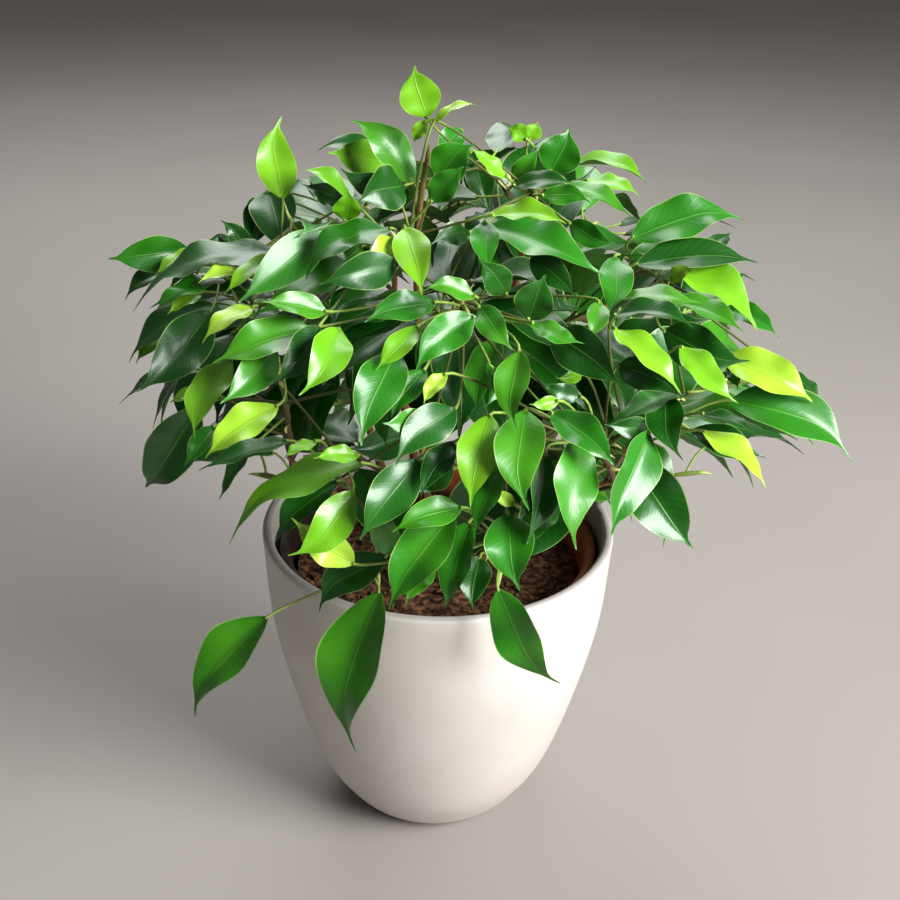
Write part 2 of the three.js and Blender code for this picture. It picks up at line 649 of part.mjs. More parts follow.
// The shoots end at leaf bases spread as far from each other as they go.
const baseDistances = [...SEEN_LEAVES.map((leaf, k) => seenLeaf(leaf, 0, k).base), ...ruleEnds]
  .map((end) => ({ end, nearest: Infinity }));
const shootEnds = [];
let next = baseDistances.reduce((top, each) => (each.end.z > top.end.z ? each : top));
while (shootEnds.length < SHOOT_COUNT) {
  const { end } = next;
  shootEnds.push(end);
  for (const each of baseDistances) {
    each.nearest = Math.min(each.nearest, each.end.distanceTo(end));
  }
  next = baseDistances.reduce((far, each) => (each.nearest > far.nearest ? each : far));
}

// Where a shoot may leave the woody stems, the easiest climb to its end first.
const STEM_BARE_TO = 118;
const STEM_STARTS = 4;
const stemPoints = stemLines.flatMap((line, stem) => (
  line.slice(2).flatMap((top, k) => (
    Array.from({ length: STEM_STARTS }, (_, step) => (
      { stem, point: line[k + 1].clone().lerp(top, step / STEM_STARTS) }
    ))
  )).filter(({ point }) => point.z > STEM_BARE_TO)
));

function climb(point, end) {
  const flat = Math.hypot(end.x - point.x, end.y - point.y);
  return point.distanceTo(end) + 0.9 * Math.abs(end.z - point.z - 0.4 * flat);
}

const BENDS = [[0, 0.12], [0.15, 0.12], [-0.15, 0.12], [0, 0.28], [0.25, 0.2], [-0.25, 0.2]];

// A shoot from a woody stem to its end: it rises, then arches over.
function shootLine(from, end, [aside, rise]) {
  const reach = end.clone().sub(from);
  const span = reach.length();
  const tip = end.clone().addScaledVector(reach, -8 / span);
  const sideways = at(-reach.y, reach.x, 0).normalize();
  const middle = from.clone().lerp(tip, 0.5)
    .addScaledVector(UP, rise * span).addScaledVector(sideways, aside * span);
  return new THREE.QuadraticBezierCurve3(from, middle, tip).getPoints(3);
}

function shootGeometry(line, grow = 0) {
  const sections = rodSections(line, SHOOT_ROOT_RADIUS + grow, SHOOT_TIP_RADIUS + grow,
    SHOOT_SIDES);
  const last = line[line.length - 1];
  const along = last.clone().sub(line[line.length - 2]).normalize();
  return loft(sections, last.clone().addScaledVector(along, 4));
}

const shoots = [];
for (const end of shootEnds) {
  const starts = stemPoints.map((start) => ({ ...start, cost: climb(start.point, end) }))
    .sort((a, b) => a.cost - b.cost).slice(0, 16);
  const tries = starts.flatMap((start) => BENDS.map((bend) => ({ start, bend })));
  const name = `shoot ${shoots.length}`;
  for (const { start, bend } of tries) {
    const line = shootLine(start.point, end, bend);
    const swollen = shootGeometry(line, SHOOT_CLEARANCE);
    const ownStem = `stem ${start.stem}`;
    if (!isBlocked(swollen, (owner) => owner !== ownStem) && !meetsPots(swollen)) {
      shoots.push({ name, stem: start.stem, line, leaves: [] });
      place(name, shootGeometry(line));
      break;
    }
  }
}

// The places where a leaf may spring from a shoot, the nearest behind its base first.
const PETIOLE_SHORTEST = 4;
const USED_BUD_COST = 7;
const buds = shoots.flatMap((shoot) => {
  const points = [];
  for (let k = 1; k < shoot.line.length; k += 1) {
    for (const t of [0.3, 0.7]) {
      points.push({ shoot, used: 0, point: shoot.line[k - 1].clone().lerp(shoot.line[k], t) });
    }
  }
  return points;
});

function budsFor(leaf, longest) {
  const axis = leaf.tip.clone().sub(leaf.base).normalize();
  return buds.map((bud) => {
    const reach = leaf.base.clone().sub(bud.point);
    const length = reach.length();
    return { bud, length, ahead: reach.dot(axis) / length };
  })
    .filter(({ length, ahead }) => length > PETIOLE_SHORTEST && length < longest && ahead > -0.25)
    .map(({ bud, length, ahead }) => (
      { bud, cost: length * (1.3 - 0.4 * ahead) + USED_BUD_COST * bud.used }))
    .sort((a, b) => a.cost - b.cost)
    .map(({ bud }) => bud);
}

// The outlines of the placed leaves in the view.
const shadows = [];

function leafShadow(leaf) {
  const edge = (t, sign) => {
    const { point, side } = bladeFrame(leaf, t);
    return seenAt(point.clone().addScaledVector(side, sign * leaf.width * bladeWidth(t) / 2));
  };
  const stations = SEEN_STATIONS;
  return [
    seenAt(leaf.base),
    ...stations.map((t) => edge(t, -1)),
    seenAt(leaf.tip),
    ...stations.toReversed().map((t) => edge(t, 1)),
  ];
}

// Sets a leaf on a shoot if it crosses nothing there, and says whether it stands.
const PETIOLE_FREE = 0.35;

function stands(leaf, shoot, root) {
  const rooted = { ...leaf, root };
  const whole = leafGeometry(rooted, roomy);
  const outer = leafGeometry(rooted, roomy, PETIOLE_FREE);
  const isClear = !meetsPots(whole) && !isBlocked(whole, (owner) => owner !== shoot.name)
    && !isBlocked(outer, (owner) => owner === shoot.name);
  if (isClear) {
    shoot.leaves.push(rooted);
    shadows.push(leafShadow(rooted));
    place(shoot.name, leafGeometry(rooted));
  }
  return isClear;
}

// The largest seen leaves take their places first, and a leaf that is in the way of
// another moves nearer or farther along its lines of sight, or springs from another bud.
const DEEPER = [0, 3, -3, 6, -6, 10, -10, 15, -14, 20, 26, -18];
const SHADED_DEEPER = [6, 10, 15, 20, 26, 33, 40, 48];
const BUD_TRIES = 14;

function placeSeen(leaf, number, depths) {
  depths.some((deeper) => {
    const blade = seenLeaf(leaf, deeper, number);
    const bud = budsFor(blade, LONGEST_PETIOLE).slice(0, BUD_TRIES)
      .find(({ shoot, point }) => stands(blade, shoot, point));
    if (bud) {
      bud.used += 1;
    }
    return bud;
  });
}

const spread = ({ base, tip, wide }) => wide * Math.hypot(tip[0] - base[0], tip[1] - base[1]);
SEEN_LEAVES.map((leaf, number) => ({ leaf, number }))
  .sort((a, b) => spread(b.leaf) - spread(a.leaf))
  .forEach(({ leaf, number }) => placeSeen(leaf, number, DEEPER));
SHADED_LEAVES.forEach((leaf, k) => placeSeen(leaf, SEEN_LEAVES.length + k, SHADED_DEEPER));

// The place some way back from the end of a line, and the line's direction there.
function backFrom(line, back) {
  let rest = back;
  for (let k = line.length - 1; k > 0; k -= 1) {
    const along = line[k].clone().sub(line[k - 1]);
    const length = along.length();
    if (rest < length) {
      return { root: line[k].clone().addScaledVector(along, -rest / length), along: along.normalize() };
    }
    rest -= length;
  }
  return null;
}

// A leaf that the view hides, inside the crown, on its sides or at its back: it springs
// from a shoot at some distance back from the tip and leans outward and down.
function unseenLeaf(shoot, back, turn, random) {
  const spot = backFrom(shoot.line, back);
  if (!spot || spot.root.distanceTo(shoot.line[0]) < BARE_ROOT) {
    return null;
  }
  const { root, along } = spot;
  const across = squareTo(UP, along);
  const radial = across.clone().multiplyScalar(Math.cos(turn))
    .addScaledVector(across.clone().cross(along), Math.sin(turn));
  const reach = along.clone().multiplyScalar(0.6).addScaledVector(radial, 0.8).normalize();
  const base = root.clone().addScaledVector(reach, 8 + 6 * random());
  const outward = base.clone().sub(CROWN_CENTRE).divide(CROWN_RADII).normalize();
  const axis = reach.clone().multiplyScalar(0.7).addScaledVector(outward, 0.5)
    .addScaledVector(UP, -0.35 - 0.3 * random()).normalize();
  const length = SHORTEST_LEAF + (LONGEST_LEAF - SHORTEST_LEAF) * random();
  const settled = outward.clone().multiplyScalar(0.5).addScaledVector(UP, 0.9)
    .addScaledVector(across.clone().cross(along), 0.6 * (random() - 0.5));
  const leaf = {
    base,
    tip: base.clone().addScaledVector(axis, length),
    normal: squareTo(settled, axis),
    width: length * (LEAF_ASPECT + 0.06 * (random() - 0.5)),
    arch: length * (0.05 + 0.07 * random()),
    twist: 0.4 * (random() - 0.5),
    age: random() < 0.75 ? DARK : MID,
    stations: UNSEEN_STATIONS,
  };
  return isHidden(leaf) ? { leaf, root } : null;
}

// Whether a leaf lies behind the seen ones: inside the crown where it faces the eye, and
// within the crown's outline everywhere.
function isHidden({ base, tip }) {
  return [{ point: base, most: 0.8 }, { point: tip, most: 0.92 }].every(({ point, most }) => {
    const offset = point.clone().sub(CROWN_CENTRE).divide(CROWN_RADII);
    const size = offset.length();
    const facing = offset.dot(TO_EYE) / size;
    const limit = most + 0.3 * THREE.MathUtils.clamp(0.35 - facing, 0, 0.6);
    return size < limit && isInside(seenAt(point), OUTLINE);
  });
}

function leavesViewsClear(shadow) {
  return !CLEAR_VIEWS.some((view) => shadow.some((corner) => isInside(corner, view)));
}

// Every unseen leaf that the shoots could carry, from the tips of the shoots inwards.
const LEAF_SPACING = 5;
const NODES_PER_SHOOT = 22;
const TURN_TRIES = 12;
const BARE_ROOT = 9;
const unseenRandom = seeded(3);
const spareLeaves = [];
for (let node = 0; node < NODES_PER_SHOOT; node += 1) {
  for (const shoot of shoots) {
    for (let k = 0; k < TURN_TRIES; k += 1) {
      const turn = (node * 1.5 + k) * GOLDEN_ANGLE;
      const grown = unseenLeaf(shoot, 2 + node * LEAF_SPACING, turn, unseenRandom);
      const shadow = grown ? leafShadow(grown.leaf) : [];
      if (grown && leavesViewsClear(shadow)) {
        spareLeaves.push({ ...grown, shoot, shadow, isUsed: false });
      }
    }
  }
}

// Points of the view, above the soil, where nothing covers the crown yet.
const GAP_STEP = 7;
const GAP_LOWEST = 545;
let gaps = [];
for (let y = GAP_STEP; y < GAP_LOWEST; y += GAP_STEP) {
  for (let x = GAP_STEP; x < 2 * VIEW_CENTRE; x += GAP_STEP) {
    gaps.push([x, y]);
  }
}
gaps = gaps.filter((point) => (
  isInside(point, OUTLINE) && !shadows.some((shadow) => isInside(point, shadow))));

// They first go where they cover most of the gaps in the view, then anywhere.
const GAP_SHARES = [12, 9, 7, 5, 4, 3, 2, 1, 0];
let unseenCount = 0;
for (const least of GAP_SHARES) {
  for (const spare of spareLeaves) {
    const isOpen = !spare.isUsed && unseenCount < UNSEEN_LEAVES;
    const covered = isOpen ? gaps.filter((point) => isInside(point, spare.shadow)) : [];
    if (isOpen && covered.length >= least && stands(spare.leaf, spare.shoot, spare.root)) {
      spare.isUsed = true;
      unseenCount += 1;
      gaps = gaps.filter((point) => !covered.includes(point));
    }
  }
}

// Joins and cuts work on closed meshes whose shared corners are merged.
function toSolid(geometry) {
  const plain = geometry.clone();
  plain.deleteAttribute('normal');
  plain.deleteAttribute('uv');
  const merged = mergeVertices(plain, 1e-4);
  return new wasm.Manifold(new wasm.Mesh({
    numProp: 3,
    vertProperties: merged.attributes.position.array,
    triVerts: Uint32Array.from(merged.index.array),
  }));
}

function toGeometry(solid) {
  const mesh = solid.getMesh();
  const geometry = new THREE.BufferGeometry();
  geometry.setAttribute('position', new THREE.BufferAttribute(mesh.vertProperties, 3));
  geometry.setIndex(new THREE.BufferAttribute(mesh.triVerts, 1));
  return geometry;
}

// Where leaf stalks join a shoot some edges come out too short to make. Each one is drawn
// together into one corner, where its ends share just the two corners beside it.
const SHORTEST_EDGE = 0.02;
const TIDY_ROUNDS = 4;

function withoutShortEdges(geometry) {
  const corners = geometry.attributes.position;
  const place = (k) => new THREE.Vector3().fromBufferAttribute(corners, k);
  const flat = Array.from(geometry.index.array);
  let faces = Array.from({ length: flat.length / 3 }, (_, k) => flat.slice(3 * k, 3 * k + 3));
  const neighbours = (k) => new Set(faces.filter((face) => face.includes(k)).flat());
  const isShort = ([a, b]) => place(a).distanceTo(place(b)) < SHORTEST_EDGE;
  for (let round = 0; round < TIDY_ROUNDS; round += 1) {
    const edges = faces.flatMap(([a, b, c]) => [[a, b], [b, c], [c, a]])
      .filter(([a, b]) => a < b).filter(isShort);
    for (const [kept, dropped] of edges) {
      const around = neighbours(dropped);
      const shared = [...neighbours(kept)].filter((k) => around.has(k));
      if (shared.length === 4) {
        faces = faces.map((face) => face.map((k) => (k === dropped ? kept : k)))
          .filter(([a, b, c]) => a !== b && b !== c && c !== a);
      }
    }
  }
  const tidied = geometry.clone();
  tidied.setIndex(faces.flat());
  return mergeVertices(tidied, 0);
}

const plant = new THREE.Group();

function add(name, geometry, color, roughness) {
  const material = new THREE.MeshStandardMaterial({ color, roughness, metalness: 0 });
  const mesh = new THREE.Mesh(geometry, material);
  mesh.name = name;
  plant.add(mesh);
}

// A shape turned about the upright axis, from its outline in radius and height.
function turned(outline) {
  const points = outline.map(([radius, z]) => new THREE.Vector2(radius, z));
  return new THREE.LatheGeometry(points, POT_SIDES).rotateX(Math.PI / 2);
}

// Cover pot: the outer wall, a rounded lip, the inner wall and the flat floor.
const lip = POT_WALL / 2;
const lipPoints = [0, 0.25, 0.5, 0.75, 1].map((t) => [
  POT_RIM_RADIUS - lip + lip * Math.cos(Math.PI * t),
  POT_HEIGHT - lip + lip * Math.sin(Math.PI * t),
]);
const innerPoints = POT_OUTLINE.filter((ring) => ring.z > POT_FLOOR && ring.z < POT_HEIGHT - lip)
  .reverse().map((ring) => [ring.radius - POT_WALL, ring.z]);
const coverPot = turned([
  [0, 0],
  ...POT_OUTLINE.slice(0, -1).map((ring) => [ring.radius, ring.z]),
  ...lipPoints,
  ...innerPoints,
  [potRadius(POT_FLOOR) - POT_WALL, POT_FLOOR],
  [0, POT_FLOOR],
]);
add('cover_pot', toGeometry(toSolid(coverPot)), 0xc9c1b8, 0.45);

// Nursery pot: its lower edge rests on the curve of the cover pot's inner wall.
const linerFoot = potRadius(LINER_BOTTOM) - POT_WALL - 1.5 * SEAT_GAP;
const linerRimFoot = LINER_TOP - LINER_RIM_HEIGHT;
const liner = turned([
  [0, LINER_BOTTOM],
  [linerFoot, LINER_BOTTOM],
  [LINER_UPPER_RADIUS, linerRimFoot - 1.5],
  [LINER_RIM_RADIUS, linerRimFoot],
  [LINER_RIM_RADIUS, LINER_TOP - 0.6],
  [LINER_RIM_RADIUS - 0.6, LINER_TOP],
  [LINER_RIM_RADIUS - 2.2, LINER_TOP],
  [LINER_UPPER_RADIUS - LINER_WALL, LINER_TOP - 2],
  [LINER_UPPER_RADIUS - LINER_WALL, linerRimFoot - 1.5],
  [linerFoot - LINER_WALL, LINER_BOTTOM + LINER_WALL],
  [0, LINER_BOTTOM + LINER_WALL],
]);
let linerSolid = toSolid(liner);
for (let k = 0; k < DRAIN_COUNT; k += 1) {
  const turn = 2 * Math.PI * k / DRAIN_COUNT;
  const hole = new THREE.CylinderGeometry(DRAIN_RADIUS, DRAIN_RADIUS, 4 * LINER_WALL, 8);
  hole.rotateX(Math.PI / 2);
  hole.translate(DRAIN_CIRCLE * Math.cos(turn), DRAIN_CIRCLE * Math.sin(turn), LINER_BOTTOM);
  linerSolid = linerSolid.subtract(toSolid(hole));
}
add('nursery_pot', toGeometry(linerSolid), 0xa4552f, 0.6);

// Soil: it fills the nursery pot and its top is lumpy, with a plain hole for each stem.
const soilFoot = LINER_BOTTOM + LINER_WALL + SEAT_GAP;
const soilSlope = (LINER_UPPER_RADIUS - linerFoot) / (linerRimFoot - 1.5 - LINER_BOTTOM);
const soilRadius = (z) => linerFoot - LINER_WALL - 1.5 * SEAT_GAP
  + soilSlope * (z - LINER_BOTTOM - LINER_WALL);
const soil = turned([
  [0, soilFoot],
  [soilRadius(soilFoot), soilFoot],
  [soilRadius(SOIL_TOP - 3), SOIL_TOP - 3],
  ...[0.94, 0.76, 0.56, 0.34].map((part) => (
    [soilRadius(SOIL_TOP) * part, SOIL_TOP])),
  [0, SOIL_TOP],
]);
const soilMerged = toGeometry(toSolid(soil));
const soilCorners = soilMerged.attributes.position;
const soilRandom = seeded(7);
for (let k = 0; k < soilCorners.count; k += 1) {
  const lift = SOIL_LUMP * (2 * soilRandom() - 1);
  if (soilCorners.getZ(k) > SOIL_TOP - 1) {
    soilCorners.setZ(k, soilCorners.getZ(k) + lift);
  }
}
let soilSolid = toSolid(soilMerged);
for (const line of stemLines) {
  soilSolid = soilSolid.subtract(toSolid(stemGeometry(line, SEAT_GAP)));
}
add('potting_soil', toGeometry(soilSolid), 0x4b2f20, 0.95);

stemLines.forEach((line, k) => {
  add(`stem_${k + 1}`, stemGeometry(line), 0x8a5a35, 0.75);
});

// Sprays: a shoot and its leaves grown together, cut back to sit on its woody stem.
const SPRAY_COLOURS = { dark: 0x1f6a22, mid: 0x2f8a26, young: 0x7fc021, pale: 0xa7d63a };
shoots.filter((shoot) => shoot.leaves.length > 0).forEach((shoot, k) => {
  let solid = toSolid(shootGeometry(shoot.line));
  const ages = {};
  for (const leaf of shoot.leaves) {
    solid = solid.add(toSolid(leafGeometry(leaf)));
    ages[leaf.age] = (ages[leaf.age] ?? 0) + 1;
  }
  solid = solid.subtract(toSolid(stemGeometry(stemLines[shoot.stem], SEAT_GAP)));
  const pieces = solid.decompose().sort((a, b) => b.volume() - a.volume());
  const age = Object.keys(ages).sort((a, b) => ages[b] - ages[a])[0] ?? MID;
  const spray = withoutShortEdges(toGeometry(pieces[0]));
  add(`spray_${String(k + 1).padStart(2, '0')}`, spray, SPRAY_COLOURS[age], 0.4);
});

export default plant;
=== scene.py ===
"""Weeping fig in a nursery pot, stood inside a ceramic cover pot.

The cover pot, the nursery pot, the soil, the woody stems and the leafy sprays are built in
that order, each over the solid that it stands for.
"""

import math

import bpy
import numpy as np
from mathutils import Matrix
from mathutils.bvhtree import BVHTree


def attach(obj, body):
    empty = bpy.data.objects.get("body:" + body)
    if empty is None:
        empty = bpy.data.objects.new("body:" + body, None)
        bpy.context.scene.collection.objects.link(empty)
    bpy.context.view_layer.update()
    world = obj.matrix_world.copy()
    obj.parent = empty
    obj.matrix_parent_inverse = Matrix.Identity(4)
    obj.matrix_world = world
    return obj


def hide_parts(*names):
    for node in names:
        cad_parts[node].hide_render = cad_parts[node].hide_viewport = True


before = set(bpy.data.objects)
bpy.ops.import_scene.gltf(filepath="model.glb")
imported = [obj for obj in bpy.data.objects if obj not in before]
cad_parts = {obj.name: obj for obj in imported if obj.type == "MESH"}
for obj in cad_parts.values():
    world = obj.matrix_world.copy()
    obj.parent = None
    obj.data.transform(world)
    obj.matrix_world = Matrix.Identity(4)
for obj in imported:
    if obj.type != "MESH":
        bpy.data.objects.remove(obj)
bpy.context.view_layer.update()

# Cover pot
# Slip-cast stoneware, tapered, with a rounded foot and a plain rolled lip. It has a satin
# warm-grey glaze inside and out, with fine dark specks. The top of the lip is painted
# darker: painted shade.
MM = 0.001
POT_RIM_RADIUS = 68.0
POT_HEIGHT = 127.0
POT_WALL = 3.8
POT_FLOOR = 6.0
POT_OUTLINE = np.array([
    (30, 0), (34, 2.5), (40.4, 10), (49, 25.5), (57, 51), (65.25, 89),
    (POT_RIM_RADIUS, POT_HEIGHT - POT_WALL / 2),
])
POT_SIDES = 128
POT_BASE_RADIUS = 29.0
POT_WALL_STEPS = 55
POT_LIP_STEPS = 13
POT_CORNER = [(0.88, 0.9), (2.64, 0.2), (5.28, 0.0)]
GLAZE = (205, 200, 194)
GLAZE_WARM = (198, 191, 183)
GLAZE_SPECK_AND_LIP_SHADE = (152, 146, 141)


def smooth_through(points, t):
    """Points of a curve through the given ones: a cubic in each span, whose slope at a point
    is half the step between its two neighbours."""
    points = np.array(points, float)
    before, after = 2 * points[0] - points[1], 2 * points[-1] - points[-2]
    points = np.vstack([before, points, after])
    place = np.asarray(t, float) * (len(points) - 3)
    span = np.minimum(place.astype(int), len(points) - 4)
    s = (place - span)[:, None]
    a, b, c, d = (points[span + k] for k in range(4))
    out, into = (c - a) / 2, (d - b) / 2
    square = 3 * (c - b) - 2 * out - into
    cube = 2 * (b - c) + out + into
    return b + out * s + square * s ** 2 + cube * s ** 3


def wrapped(rings, first, last):
    """Corners and faces of a closed surface: rings of points, drawn to a point at each end."""
    rows, sides = rings.shape[:2]
    corners = np.vstack([rings.reshape(-1, 3), first, last])
    row, side = np.meshgrid(np.arange(rows - 1), np.arange(sides), indexing="ij")
    here, beside = row * sides + side, row * sides + (side + 1) % sides
    quads = np.stack([here, beside, beside + sides, here + sides], axis=-1).reshape(-1, 4)
    around = np.arange(sides)
    ahead = (around + 1) % sides
    end = (rows - 1) * sides
    foot = np.stack([ahead, around, np.full(sides, rows * sides)], axis=-1)
    head = np.stack([end + around, end + ahead, np.full(sides, rows * sides + 1)], axis=-1)
    return corners, [*quads.tolist(), *foot.tolist(), *head.tolist()]


def turned(profile, sides=POT_SIDES):
    """A profile of radius and height turned about the upright axis: x = r cos a, y = r sin a."""
    radius, z = np.array(profile, float).T[..., None]
    turn = 2 * math.pi * np.arange(sides) / sides
    rings = np.stack([radius * np.cos(turn), radius * np.sin(turn), z + 0 * turn], axis=-1)
    return wrapped(rings[1:-1], rings[0, 0], rings[-1, 0])


def make_piece(name, corners, faces, materials, sharp=180.0):
    """A mesh object in metres from corners in millimetres, smooth but for its sharp edges."""
    mesh = bpy.data.meshes.new(name)
    mesh.from_pydata((np.asarray(corners) * MM).tolist(), [], faces)
    mesh.shade_smooth()
    mesh.set_sharp_from_angle(angle=math.radians(sharp))
    for material in materials:
        mesh.materials.append(material)
    piece = bpy.data.objects.new(name, mesh)
    bpy.context.scene.collection.objects.link(piece)
    return piece


def srgb(colour):
    """A colour from 0 to 255 as linear light with full alpha."""
    parts = [value / 255 for value in colour]
    linear = [v / 12.92 if v <= 0.04045 else ((v + 0.055) / 1.055) ** 2.4 for v in parts]
    return (*linear, 1.0)


class Value:
    """A number that changes over a surface. Its operators add Math nodes."""

    def __init__(self, look, socket):
        self.look = look
        self.socket = socket

    def math(self, operation, first, second):
        """A Math node on two values or numbers."""
        return self.look.node("ShaderNodeMath", {"operation": operation}, {0: first, 1: second})

    def __add__(self, other):
        return self.math("ADD", self, other)

    def __radd__(self, other):
        return self.math("ADD", other, self)

    def __sub__(self, other):
        return self.math("SUBTRACT", self, other)

    def __rsub__(self, other):
        return self.math("SUBTRACT", other, self)

    def __mul__(self, other):
        return self.math("MULTIPLY", self, other)

    def __rmul__(self, other):
        return self.math("MULTIPLY", other, self)

    def __abs__(self):
        return self.math("ABSOLUTE", self, 0.0)

    def __mod__(self, other):
        return self.math("FLOORED_MODULO", self, other)


class Look:
    """A procedural material: a Principled shader and the nodes that feed it."""

    def __init__(self, name, finish):
        self.material = bpy.data.materials.new(name)
        self.material.use_nodes = True
        self.tree = self.material.node_tree
        self.shader = self.tree.nodes["Principled BSDF"]
        self.feed(self.shader, finish)

    def feed(self, node, sockets):
        """Sets the sockets of a node, each by its name or number, to a number or a link."""
        for key, given in sockets.items():
            if isinstance(given, Value):
                self.tree.links.new(given.socket, node.inputs[key])
            else:
                node.inputs[key].default_value = given

    def node(self, kind, settings, sockets, output=0):
        """Adds one node, its settings first, and gives one of its outputs."""
        node = self.tree.nodes.new(kind)
        for name, setting in settings.items():
            if name == "stops":
                ramp = node.color_ramp
                while len(ramp.elements) < len(setting):
                    ramp.elements.new(1.0)
                for element, (place, colour) in zip(ramp.elements, setting):
                    element.position = place
                    element.color = colour
            else:
                setattr(node, name, setting)
        self.feed(node, sockets)
        return Value(self, node.outputs[output])

    def place(self):
        """Object coordinates."""
        return self.node("ShaderNodeTexCoord", {}, {}, "Object")

    def part(self, vector, axis):
        """One coordinate of a vector."""
        return self.node("ShaderNodeSeparateXYZ", {}, {"Vector": vector}, axis)

    def noise(self, scale, detail):
        """Soft noise about 0.5, with features of 1 / scale metres."""
        return self.node("ShaderNodeTexNoise", {}, {
            "Vector": self.place(), "Scale": scale, "Detail": detail})

    def fade(self, value, low, high):
        """0 below low and 1 above high, smooth between."""
        return self.node("ShaderNodeMapRange", {"interpolation_type": "SMOOTHSTEP"}, {
            "Value": value, "From Min": low, "From Max": high})

    def blend(self, share, first, second):
        """A colour between two, by a share from 0 to 1."""
        return self.node("ShaderNodeMix", {"data_type": "RGBA"}, {
            "Factor": share, 6: first, 7: second}, 2)

    def bump(self, height, distance, strength):
        """Relief: height from 0 to 1 over a distance in metres."""
        relief = self.node("ShaderNodeBump", {}, {
            "Height": height, "Distance": distance, "Strength": strength})
        self.feed(self.shader, {"Normal": relief})


lip = POT_WALL / 2
lip_turn = np.linspace(0, math.pi, POT_LIP_STEPS)
pot_lip = np.stack([
    POT_RIM_RADIUS - lip + lip * np.cos(lip_turn),
    POT_HEIGHT - lip + lip * np.sin(lip_turn),
], axis=-1)
pot_wall = smooth_through(POT_OUTLINE, np.linspace(0, 1, POT_WALL_STEPS))
pot_inside = pot_wall[pot_wall[:, 1] > POT_FLOOR + 2][::-1] - (POT_WALL, 0)
pot_corner = [(pot_inside[-1, 0] - inwards, POT_FLOOR + above) for inwards, above in POT_CORNER]
pot_profile = [(0, 0), (POT_BASE_RADIUS, 0), *pot_wall[:-1], *pot_lip, *pot_inside[1:], *pot_corner,
               (0, POT_FLOOR)]

glaze = Look("satin_glaze", {"IOR": 1.5, "Coat Roughness": 0.25})
glaze_cloud = glaze.noise(18.0, 3.0)
glaze_speck = glaze.fade(glaze.noise(900.0, 2.0), 0.66, 0.74)
glaze_rise = glaze.part(glaze.place(), "Z")
# Painted shade: the top of the lip is painted darker, and the same dark colour marks the specks
painted_lip_shade = glaze.fade(glaze_rise, (POT_HEIGHT - 1.2) * MM, POT_HEIGHT * MM)
glaze_colour = glaze.blend(glaze.fade(glaze_cloud, 0.35, 0.65), srgb(GLAZE), srgb(GLAZE_WARM))
glaze_colour = glaze.blend(painted_lip_shade * 0.8, glaze_colour, srgb(GLAZE_SPECK_AND_LIP_SHADE))
glaze_colour = glaze.blend(glaze_speck * 0.25, glaze_colour, srgb(GLAZE_SPECK_AND_LIP_SHADE))
glaze.feed(glaze.shader, {
    "Base Color": glaze_colour,
    "Roughness": 0.36 + glaze_cloud * 0.14,
    "Coat Weight": 0.1 + glaze_cloud * 0.1,
})
glaze.bump(glaze.noise(260.0, 3.0), 0.00012, 0.5)
cover_pot = make_piece("CoverPot", *turned(pot_profile), [glaze.material], sharp=60)
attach(cover_pot, "root")
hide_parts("cover_pot")

# Nursery pot
# The thin terracotta-coloured polypropylene pot that the plant was sold in, injection
# moulded, with a turned-over rim and drain holes. It hangs in the cover pot by its taper.
LINER_RIM_RADIUS = 61.5
LINER_RIM_HEIGHT = 6.0
LINER_TOP = 119.0
LINER_BOTTOM = 17.0
LINER_WALL = 1.6
LINER_UPPER_RADIUS = 59.4
LINER_SHOULDER = 1.5
SEAT_GAP = 0.3
DRAIN_RADIUS = 4.0
DRAIN_CIRCLE = 24.0
DRAIN_COUNT = 6
DRAIN_SIDES = 24
TERRACOTTA = (190, 98, 66)
TERRACOTTA_DARK = (130, 62, 42)
# Painted shade on the nursery pot's wall: the heights between which it fades out, its tilt across
# the pot and its colour
PAINTED_SHADE_TOP = 114.0
PAINTED_SHADE_FOOT = 106.0
PAINTED_SHADE_TILT = 0.22
PAINTED_SHADE_BROWN = (40, 25, 18)

liner_foot = float(np.interp(LINER_BOTTOM, POT_OUTLINE[:, 1], POT_OUTLINE[:, 0]))
liner_foot -= POT_WALL + 1.5 * SEAT_GAP
rim_foot = LINER_TOP - LINER_RIM_HEIGHT
wall_top = rim_foot - LINER_SHOULDER
liner_outside = [
    (0, LINER_BOTTOM),
    (liner_foot - 2, LINER_BOTTOM),
    (liner_foot, LINER_BOTTOM),
    (liner_foot + 0.1, LINER_BOTTOM + 0.8),
    (LINER_UPPER_RADIUS, wall_top),
    (LINER_RIM_RADIUS - 0.3, rim_foot - 0.2),
    (LINER_RIM_RADIUS, rim_foot + 0.3),
    (LINER_RIM_RADIUS, LINER_TOP - 0.9),
    (LINER_RIM_RADIUS - 0.3, LINER_TOP - 0.3),
    (LINER_RIM_RADIUS - 0.9, LINER_TOP),
]
liner_inside = [
    (LINER_RIM_RADIUS - 2.2, LINER_TOP),
    (LINER_RIM_RADIUS - 3.0, LINER_TOP - 0.4),
    (LINER_UPPER_RADIUS - LINER_WALL, LINER_TOP - 2),
    (LINER_UPPER_RADIUS - LINER_WALL, wall_top),
    (liner_foot - LINER_WALL, LINER_BOTTOM + LINER_WALL + 0.5),
    (liner_foot - LINER_WALL - 1, LINER_BOTTOM + LINER_WALL),
    (0, LINER_BOTTOM + LINER_WALL),
]
nursery_pot = make_piece("NurseryPot", *turned([*liner_outside, *liner_inside]), [])


def drill(piece, cutters):
    """Takes the cutters' shapes out of a piece."""
    for cutter in cutters:
        cut = piece.modifiers.new("hole", "BOOLEAN")
        cut.operation = "DIFFERENCE"
        cut.object = cutter
    drilled = bpy.data.meshes.new_from_object(
        piece.evaluated_get(bpy.context.evaluated_depsgraph_get()))
    piece.modifiers.clear()
    piece.data = drilled
    for cutter in cutters:
        bpy.data.objects.remove(cutter)


